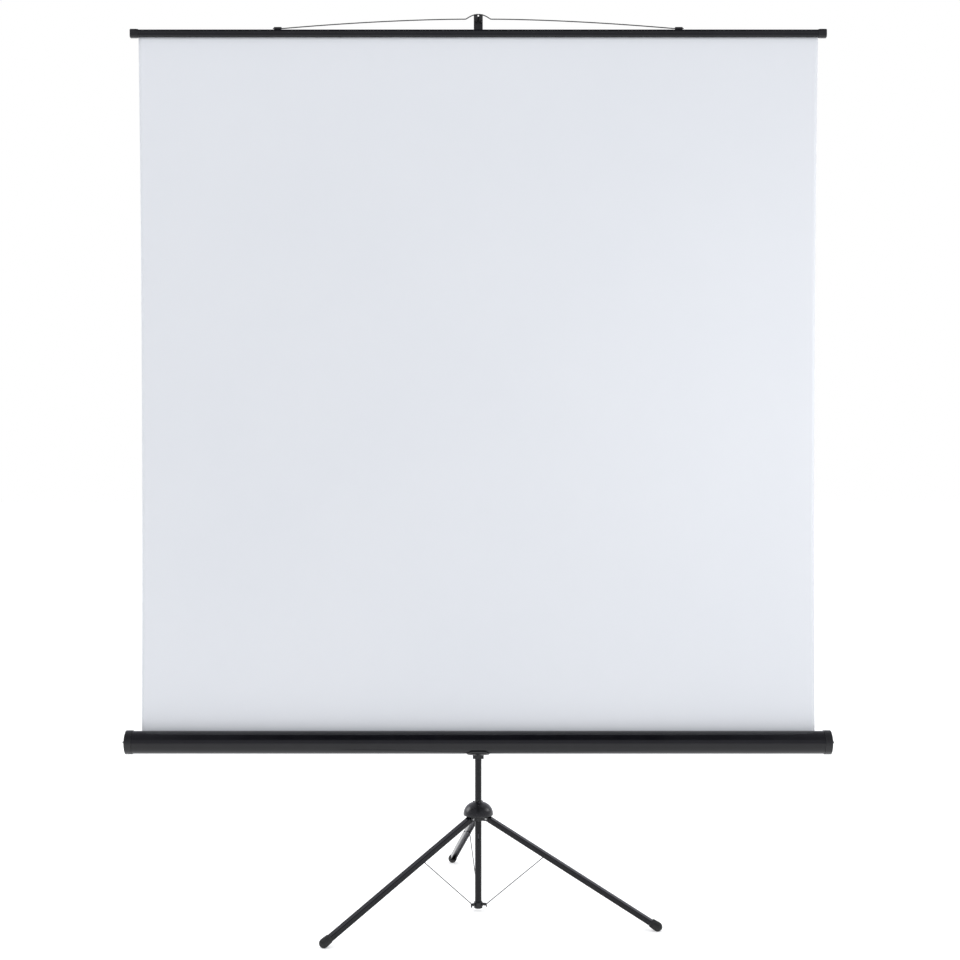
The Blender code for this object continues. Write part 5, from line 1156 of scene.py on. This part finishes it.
bar_outline = joined(
    [(BAR_SLOT / 2, -BAR_HEIGHT / 2)], arc((side_y, -side_z), BAR_CORNER, -90, 0, 9), right_groove[::-1],
    arc((side_y, side_z), BAR_CORNER, 0, 90, 9), arc((-side_y, side_z), BAR_CORNER, 90, 180, 9),
    right_groove * (-1, 1), arc((-side_y, -side_z), BAR_CORNER, 180, 270, 9),
    [(-BAR_SLOT / 2, -BAR_HEIGHT / 2)],
    arc((0, cavity), BAR_CAVITY, 270 - slot_turn, -90 + slot_turn, 24),
)
bar = plate(bar_outline, bar_low.x, bar_high.x, bar_middle, Y, Z, 0.0002, 2)
piece("top_rail", bar, case_enamel, "black_paint", "top_bar", "top_bar", sharp=40)

# Hem rod
# A thin plated steel rod in the sheet's hem, a little shorter than the bar.
rod_radius = half_size("hem_rod", "z")
hem_middle = np.array((0.0, SHEET_Y, hem_level))
hem_line = rounded(box_line(0, rod_box[0].x, rod_radius, rod_box[1].x), (0, 0.0006, 0.0006, 0))
piece(
    "hem_stiffener", turned(hem_line, hem_middle, X, 24), plated_lengthways, "bare_steel",
    "top_bar", "hem_rod",
)

# Bar caps
# Black nylon sleeves closed outside, pushed over the bar's ends; their walls swell from a thin mouth.
BAR_CAP_WALL = 0.0013
MOUTH_WALL = 0.0005
SWELL_LENGTH = 0.0080
CAP_END_DEPTH = 0.0016
CAP_END_ROUND = 0.0018


def box_outline(depth, height, corner):
    """The outline of a box with round corners, about its middle."""
    return rounded(box_about(depth / 2, height / 2), corner, 8)


bar_pocket = box_outline(BAR_DEPTH + 2 * GAP, BAR_HEIGHT + 2 * GAP, BAR_CORNER + GAP)
for side, way in (("left", -1), ("right", 1)):
    low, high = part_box(f"bar_cap_{side}")
    cap_length = high.x - low.x
    mouth = low.x if way > 0 else high.x
    turn = np.radians(np.linspace(0, 90, 7))
    swell = np.linspace(0, 1, 10)
    end_round = cap_length - CAP_END_DEPTH * (1 - np.sin(turn))
    from_mouth = joined([0], 0.0002 + SWELL_LENGTH * swell, end_round)
    swollen = MOUTH_WALL + (BAR_CAP_WALL - MOUTH_WALL) * np.sin(swell * np.pi / 2)
    wall = joined([0.0003], swollen, BAR_CAP_WALL - CAP_END_ROUND * (1 - np.cos(turn)))
    blank_rows = []
    for along, proud in zip(from_mouth, wall):
        extra = 2 * (GAP + proud)
        section = box_outline(BAR_DEPTH + extra, BAR_HEIGHT + extra, BAR_CORNER + proud)
        blank_rows.append(bar_middle + (mouth + way * along) * X + section[:, :1] * Y + section[:, 1:] * Z)
    blank = skin(np.array(blank_rows))
    pocket_ends = (bar_low.x - GAP, high.x + BEYOND) if way < 0 else (low.x - BEYOND, bar_high.x + GAP)
    pocket = plate(bar_pocket, *pocket_ends, bar_middle, Y, Z, 0)
    piece(
        f"rail_end_cap_{side}", carve(blank, [pocket]), nylon, "black_plastic",
        "top_bar", f"bar_cap_{side}", edges=0.0002,
    )

# Bail
# One length of black hard wire, bowed up from its two clips and bent into a small arch in the middle,
# which hangs on the mast's hook.
BAIL_SPAN = 1.086
BAIL_WIRE = 0.0014
BAIL_RISE = 0.0540
ARM_RISE = 0.0355
ARCH_HALF = 0.0325
CLIP_LENGTH = 0.0200
CLIP_HEIGHT = 0.0070
CLIP_DEPTH = 0.0080
HOOK_REACH = 0.0255
bail_pivot = np.array(hinges["bail_swing"]["pos_m"])
BAIL_LEAN = math.asin((MAST_FOOT[1] - SHEET_Y - HOOK_REACH) / BAIL_RISE)
arm_end = BAIL_SPAN / 2 - CLIP_LENGTH - 0.0060
arm_run = 1 - np.linspace(0, 1, 90) ** 0.8
arm_x = ARCH_HALF + (arm_end - ARCH_HALF) * arm_run
arm_z = ARM_RISE * (1 - arm_run**1.7)
arch_share = np.linspace(1, -1, 45)
arch_x = ARCH_HALF * arch_share
arch_z = ARM_RISE + (BAIL_RISE - ARM_RISE) * (1 - arch_share**2)
bail_x = joined([BAIL_SPAN / 2], arm_x, arch_x[1:-1], -arm_x[::-1], [-BAIL_SPAN / 2])
bail_z = joined([0], arm_z, arch_z[1:-1], arm_z[::-1], [0])
lengths = joined([0], np.cumsum(np.hypot(np.diff(bail_x), np.diff(bail_z))))
even = np.linspace(0, lengths[-1], 760)
smooth_x = np.interp(even, lengths, bail_x)
smooth_z = np.interp(even, lengths, bail_z)
for _ in range(3):
    smooth_x[1:-1] = (smooth_x[:-2] + 2 * smooth_x[1:-1] + smooth_x[2:]) / 4
    smooth_z[1:-1] = (smooth_z[:-2] + 2 * smooth_z[1:-1] + smooth_z[2:]) / 4
bail_up = math.sin(BAIL_LEAN) * Y + math.cos(BAIL_LEAN) * Z
bail_path = bail_pivot * (0, 1, 1) + smooth_x[:, None] * X + smooth_z[:, None] * bail_up
SPRING_WIRE_TONE = ((0.035, 0.035, 0.038), (0.075, 0.075, 0.080), (0.30, 0.42), 0.02)
dark_wire = metal("blackened_spring_wire", *SPRING_WIRE_TONE, (1.0, 1.0, 1.0))
bail_shape = bent_wire(bail_path, BAIL_WIRE, np.cross(X, bail_up), 14)
piece("bail_hanger", bail_shape, dark_wire, "dark_wire", "bail", "bail_wire")

# Bail clips
# Small black nylon blocks on top of the bar, each with a hole that the bail's straight end turns in.
clip_outline = joined(
    [(-CLIP_DEPTH / 2, -CLIP_HEIGHT / 2), (CLIP_DEPTH / 2, -CLIP_HEIGHT / 2)],
    arc((0, -0.0005), CLIP_DEPTH / 2, 0, 180, 20),
)
for side in ("left", "right"):
    low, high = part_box(f"bail_clip_{side}")
    place = np.array((0.0, SHEET_Y, low.z + CLIP_HEIGHT / 2))
    block = plate(clip_outline, low.x, high.x, place, Y, Z, 0.0005)
    bore = round_bar(BAIL_WIRE + GAP, low.x - BEYOND, high.x + BEYOND, bail_pivot * (0, 1, 1), X)
    piece(
        f"bail_block_{side}", carve(block, [bore]), nylon, "black_plastic",
        "top_bar", f"bail_clip_{side}", edges=0.0002,
    )

# Mast head
# A black nylon block pinned on top of the extension tube, split by a slot into two cheeks. Each cheek has
# a hook in front, and the bail's arch lies in the groove behind it.
HEAD_WIDTH = 0.0240
HEAD_BACK = 0.0120
HEAD_FRONT = 0.0125
HEAD_SOCKET = 0.0500
HEAD_SLOT = 0.0038
HEAD_SLOT_DEPTH = 0.0010
head_low, head_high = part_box("mast_head")
head_bottom = head_low.z
head_top = head_high.z
cheek = HEAD_WIDTH / 2
cheek_drop = (BAIL_RISE - ARM_RISE) * (cheek / ARCH_HALF) ** 2
cheek_slope = math.atan(2 * (BAIL_RISE - ARM_RISE) * cheek / ARCH_HALF**2)
arch_top = bail_pivot[2] + BAIL_RISE * math.cos(BAIL_LEAN)
wire_gap = GAP * 1.4
arch_side = arch_top - cheek_drop * math.cos(BAIL_LEAN)
groove_bottom = arch_side - BAIL_WIRE / math.cos(cheek_slope) - wire_gap
groove_back = -HOOK_REACH + BAIL_WIRE + wire_gap
groove_front = -HOOK_REACH - cheek_drop * math.sin(BAIL_LEAN) - BAIL_WIRE - wire_gap
lip_rise = math.tan(BAIL_LEAN)
head_outline = rounded(
    (
        (HEAD_BACK, head_bottom), (HEAD_BACK, head_top - 0.0050),
        (HEAD_BACK - 0.0016, head_top - 0.0014), (HEAD_BACK - 0.0050, head_top),
        (groove_back + 0.0016, head_top), (groove_back, head_top - 0.0012),
        (groove_back, groove_bottom), (groove_front, groove_bottom),
        (groove_front - 0.0004, groove_bottom + 0.0007),
        (groove_front - 0.0036, groove_bottom + 0.0007 + 0.0030 * lip_rise),
        (groove_front - 0.0058, groove_bottom + 0.0016),
        (groove_front - 0.0064, groove_bottom - 0.0016),
        (groove_front - 0.0040, groove_bottom - 0.0060), (-HEAD_FRONT, groove_bottom - 0.0180),
        (-HEAD_FRONT, head_bottom),
    ),
    (
        0.0008, 0.0006, 0.0006, 0.0006, 0.0003, 0.0003, 0.0002, 0.0002,
        0.0002, 0.0006, 0.0006, 0.0006, 0.0012, 0.0020, 0.0008,
    ),
    4,
)
head_block = slab(head_outline, HEAD_WIDTH, MAST_FOOT, Y, Z, 0.0007)
socket = round_bar(ROD_RADIUS + GAP, head_bottom - HEAD_SOCKET, head_bottom + HEAD_SOCKET, MAST_FOOT, Z, 48)
slot_outline = box_line(-HEAD_SLOT / 2, head_top - HEAD_SLOT_DEPTH, HEAD_SLOT / 2, head_top + BEYOND)
slot_tool = plate(rounded(slot_outline, (0.0006, 0.0006, 0, 0)), -0.1, 0.1, MAST_FOOT, X, Z, 0)
hook_gap_line = box_line(-0.0500, groove_bottom - 0.0200, -HEAD_FRONT - 0.0004, head_top + BEYOND)
hook_gap = slab(hook_gap_line, HEAD_SLOT, MAST_FOOT, Y, Z, 0)
head = carve(head_block, [socket, slot_tool, hook_gap])
piece("hook_head", head, nylon, "black_plastic", "extension", "mast_head", edges=0.0003)

# Extension tube
# A plated steel tube that slides in the outer tube, with a row of catch holes at the back for the release
# button, and a black nylon guide plug in its foot.
CATCH_PITCH = 0.100
CATCH_RADIUS = 0.0024
CATCH_REACH = (0.003, 0.02)
BUTTON_LEVEL = middle("release_button", "z")
extension = mast_tube("extension_tube", 56)
catch_levels = np.arange(BUTTON_LEVEL, head_bottom - CATCH_PITCH / 2, CATCH_PITCH)
catch_holes = []
for level in catch_levels:
    catch_holes.append(round_bar(CATCH_RADIUS, *CATCH_REACH, MAST_FOOT + level * Z, Y, 20))
piece(
    "inner_mast_tube", carve(extension, catch_holes), plated_upright, "bare_steel",
    "extension", "extension_tube",
)
plug_low, plug_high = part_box("extension_plug")
plug_bore = ROD_RADIUS - TUBE_WALL - GAP
plug_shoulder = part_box("extension_tube")[0].z - GAP
plug_line = rounded(
    (
        (plug_bore, plug_high.z), (plug_bore, plug_shoulder),
        (ROD_RADIUS - 0.0002, plug_shoulder), (ROD_RADIUS - 0.0002, plug_low.z),
        (plug_bore - 0.0016, plug_low.z), (plug_bore - 0.0016, plug_high.z),
    ),
    (0.0005, 0.0001, 0.0002, 0.0008, 0.0004, 0.0004),
)
piece(
    "guide_plug", turned(plug_line, MAST_FOOT, Z, 48), nylon, "black_plastic",
    "extension", "extension_plug",
)

# Guide housing
# A turned-looking black nylon cap on top of the outer tube that guides the extension, with a boss at the
# back for the release button.
HOUSING_RADIUS = 0.0140
BUTTON_BOSS = 0.0085
BUTTON_REACH = 0.0215
BUTTON_RADIUS = 0.0045
WELL_RADIUS = BUTTON_RADIUS + 0.0018
housing_low, housing_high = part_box("mast_top_housing")
tube_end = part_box("outer_tube")[1].z + GAP
housing_line = rounded(
    (
        (HOUSING_RADIUS, housing_low.z), (HOUSING_RADIUS, housing_high.z - 0.0040),
        (HOUSING_RADIUS - 0.0020, housing_high.z), (ROD_RADIUS + GAP, housing_high.z),
        (ROD_RADIUS + GAP, tube_end), (OUTER_RADIUS + GAP, tube_end),
        (OUTER_RADIUS + GAP, housing_low.z),
    ),
    (0.0014, 0.0016, 0.0008, 0.0004, 0.0003, 0.0001, 0.0004),
)
button_middle = MAST_FOOT + BUTTON_LEVEL * Z
boss_line = rounded(box_line(0, ROD_RADIUS + 0.0020, BUTTON_BOSS, BUTTON_REACH), (0, 0, 0.0010, 0))
well = round_bar(WELL_RADIUS, ROD_RADIUS + 0.0030, BUTTON_REACH * 2, button_middle, Y, 36)
nose_hole = round_bar(CATCH_RADIUS - GAP, ROD_RADIUS - 0.0020, BUTTON_REACH * 2, button_middle, Y)
housing = carve(turned(housing_line, MAST_FOOT, Z, 72), [turned(boss_line, button_middle, Y, 48)], "UNION")
housing = carve(housing, [well, nose_hole])
piece("extension_guide", housing, nylon, "black_plastic", "mast", "mast_top_housing", edges=0.0002)

# Release button and its spring
# A black nylon button on a small coil spring: its flange is in the boss's well, its nose in a catch hole.
BUTTON_TRAVEL = 0.0030
nose_radius = CATCH_RADIUS - 2 * GAP
nose_tip = ROD_RADIUS + GAP + BUTTON_TRAVEL + GAP
flange_back = ROD_RADIUS + 0.0030 + GAP + 0.0050
button_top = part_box("release_button")[1].y - MAST_FOOT[1]
button_line = rounded(
    (
        (0, button_top), (BUTTON_RADIUS, button_top), (BUTTON_RADIUS, flange_back + 0.0016),
        (WELL_RADIUS - GAP, flange_back + 0.0016), (WELL_RADIUS - GAP, flange_back),
        (nose_radius, flange_back), (nose_radius, nose_tip), (0, nose_tip),
    ),
    (0, 0.0015, 0.0002, 0.0003, 0.0003, 0.0002, 0.0006, 0),
    5,
)
piece(
    "push_button", turned(button_line, button_middle, Y, 40), nylon, "black_plastic",
    "release_button", "release_button",
)
SMALL_WIRE = 0.0004
SMALL_PITCH = 0.0009
small_low, small_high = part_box("button_spring")
small_reach = (small_low.y - MAST_FOOT[1] + SMALL_WIRE, small_high.y - MAST_FOOT[1] - SMALL_WIRE)
small_radius = half_size("button_spring", "x") - SMALL_WIRE
small_spring = coil(button_middle, Y, X, small_radius, SMALL_WIRE, *small_reach, SMALL_PITCH, 24, 10)
piece("button_return_spring", small_spring, plated, "bare_steel", "mast", "button_spring", sharp=80)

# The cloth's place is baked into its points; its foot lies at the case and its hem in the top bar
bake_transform(screen_cloth)

# Floor
# A plain pale studio floor that fades into the white behind it.
FLOOR_HALF = 30.0
PAPER_GLOW = 0.33
floor_mesh = bpy.data.meshes.new("studio_floor")
floor_corners = [(x, y, 0) for x, y in box_about(FLOOR_HALF, FLOOR_HALF)]
floor_mesh.from_pydata(floor_corners, [], [(0, 1, 2, 3)])
floor = bpy.data.objects.new("studio_floor", floor_mesh)
bpy.context.scene.collection.objects.link(floor)
paper = bpy.data.materials.new("white_studio_paper")
paper.use_nodes = True
paper_tree = paper.node_tree
paper_shader = paper_tree.nodes["Principled BSDF"]
paper_shader.inputs["Base Color"].default_value = (0.88, 0.88, 0.88, 1)
paper_shader.inputs["Roughness"].default_value = 0.9
paper_shader.inputs["Specular IOR Level"].default_value = 0.0
paper_shader.inputs["Emission Color"].default_value = (1, 1, 1, 1)
rays = node(paper_tree, "LightPath").outputs
seen_straight = worked(paper_tree, "ADD", rays["Is Camera Ray"], rays["Is Glossy Ray"])
lifted = worked(paper_tree, "MULTIPLY", seen_straight, PAPER_GLOW)
paper_tree.links.new(lifted, paper_shader.inputs["Emission Strength"])
floor_mesh.materials.append(paper)

# Light
# An even white room. Gloss mirrors white behind, light grey in front and a dark strip of ceiling over the
# middle. Two bright soft boxes stand left and right, which gloss mirrors too. A wide dim one hangs above,
# and a small dim one in front lifts the sheet's right half.
world = bpy.data.worlds.new("studio")
bpy.context.scene.world = world
world.use_nodes = True
sky = world.node_tree
sky.nodes.clear()
rays = node(sky, "LightPath").outputs
direction = node(sky, "SeparateXYZ", {0: node(sky, "TexCoord").outputs["Generated"]}).outputs


def ramp(value, first, last, low=0.0, high=1.0):
    """Low up to the first value, high from the last one, and evenly between the two."""
    ends = {"From Min": first, "From Max": last, "To Min": low, "To Max": high}
    return node(sky, "MapRange", {"Value": value, **ends}).outputs[0]


behind = ramp(direction["Y"], 0.0, 0.4, 0.68, 1.0)
upwards = ramp(direction["Z"], 0.46, 0.58)
sideways = worked(sky, "ABSOLUTE", direction["X"])
strip_share = ramp(sideways, 0.17, 0.22, 1.0, 0.15)
gloom = worked(sky, "MULTIPLY", upwards, strip_share)
mirrored_level = node(sky, "Mix", {0: gloom, 2: behind, 3: 0.02}, data_type="FLOAT").outputs[0]
even = node(sky, "Background", {"Color": (0.97, 0.98, 1.0, 1), "Strength": 0.895}).outputs[0]
mirror = node(sky, "Background", {"Color": (0.94, 0.94, 1.03, 1), "Strength": mirrored_level}).outputs[0]
white = node(sky, "Background", {"Color": (1, 1, 1, 1), "Strength": 1.0}).outputs[0]
lit = node(sky, "MixShader", {0: rays["Is Glossy Ray"], 1: even, 2: mirror}).outputs[0]
seen = node(sky, "MixShader", {0: rays["Is Camera Ray"], 1: lit, 2: white}).outputs[0]
node(sky, "OutputWorld", {0: seen})


def soft_box(name, place, aim, size, power, mirrored):
    """A square soft light at a place, turned to a point; gloss mirrors it or not."""
    lamp = bpy.data.lights.new(name, "AREA")
    lamp.shape = "SQUARE"
    lamp.size = size
    lamp.energy = power
    holder = bpy.data.objects.new(name, lamp)
    bpy.context.scene.collection.objects.link(holder)
    holder.location = place
    way = holder.location.copy()
    way.x, way.y, way.z = (aim[k] - place[k] for k in range(3))
    holder.rotation_euler = way.to_track_quat("-Z", "Y").to_euler()
    holder.visible_glossy = mirrored
    holder.visible_camera = False


soft_box("left_soft_box", (-3.3, 1.2, 2.1), (0.0, 0.0, 0.6), 2.0, 54.0, True)
soft_box("right_soft_box", (3.2, 0.2, 2.2), (0.0, 0.0, 0.6), 1.1, 30.0, True)
soft_box("overhead_soft_box", (-1.3, -1.2, 5.2), (0.0, -0.2, 0.0), 4.0, 35.0, False)
soft_box("front_soft_box", (1.2, -1.3, 1.40), (0.75, 0.0, 1.40), 0.6, 2.3, False)

# Camera
# It looks straight at the screen from over four metres, at about half its height and barely downwards.
CAMERA_DISTANCE = 4.2383
CAMERA_HEIGHT = 1.2662
CAMERA_TILT = 0.0225
lens = bpy.data.cameras.new("photo_camera")
lens.lens = 58.86
lens.sensor_width = 36.0
lens.shift_x = 0.0018
lens.clip_end = 100.0
viewer = bpy.data.objects.new("photo_camera", lens)
bpy.context.scene.collection.objects.link(viewer)
viewer.location = (0.0, MAST_FOOT[1] - CAMERA_DISTANCE, CAMERA_HEIGHT)
viewer.rotation_euler = (math.pi / 2 - CAMERA_TILT, 0.0, 0.0)
bpy.context.scene.camera = viewer
bpy.context.scene.view_settings.view_transform = "Standard"
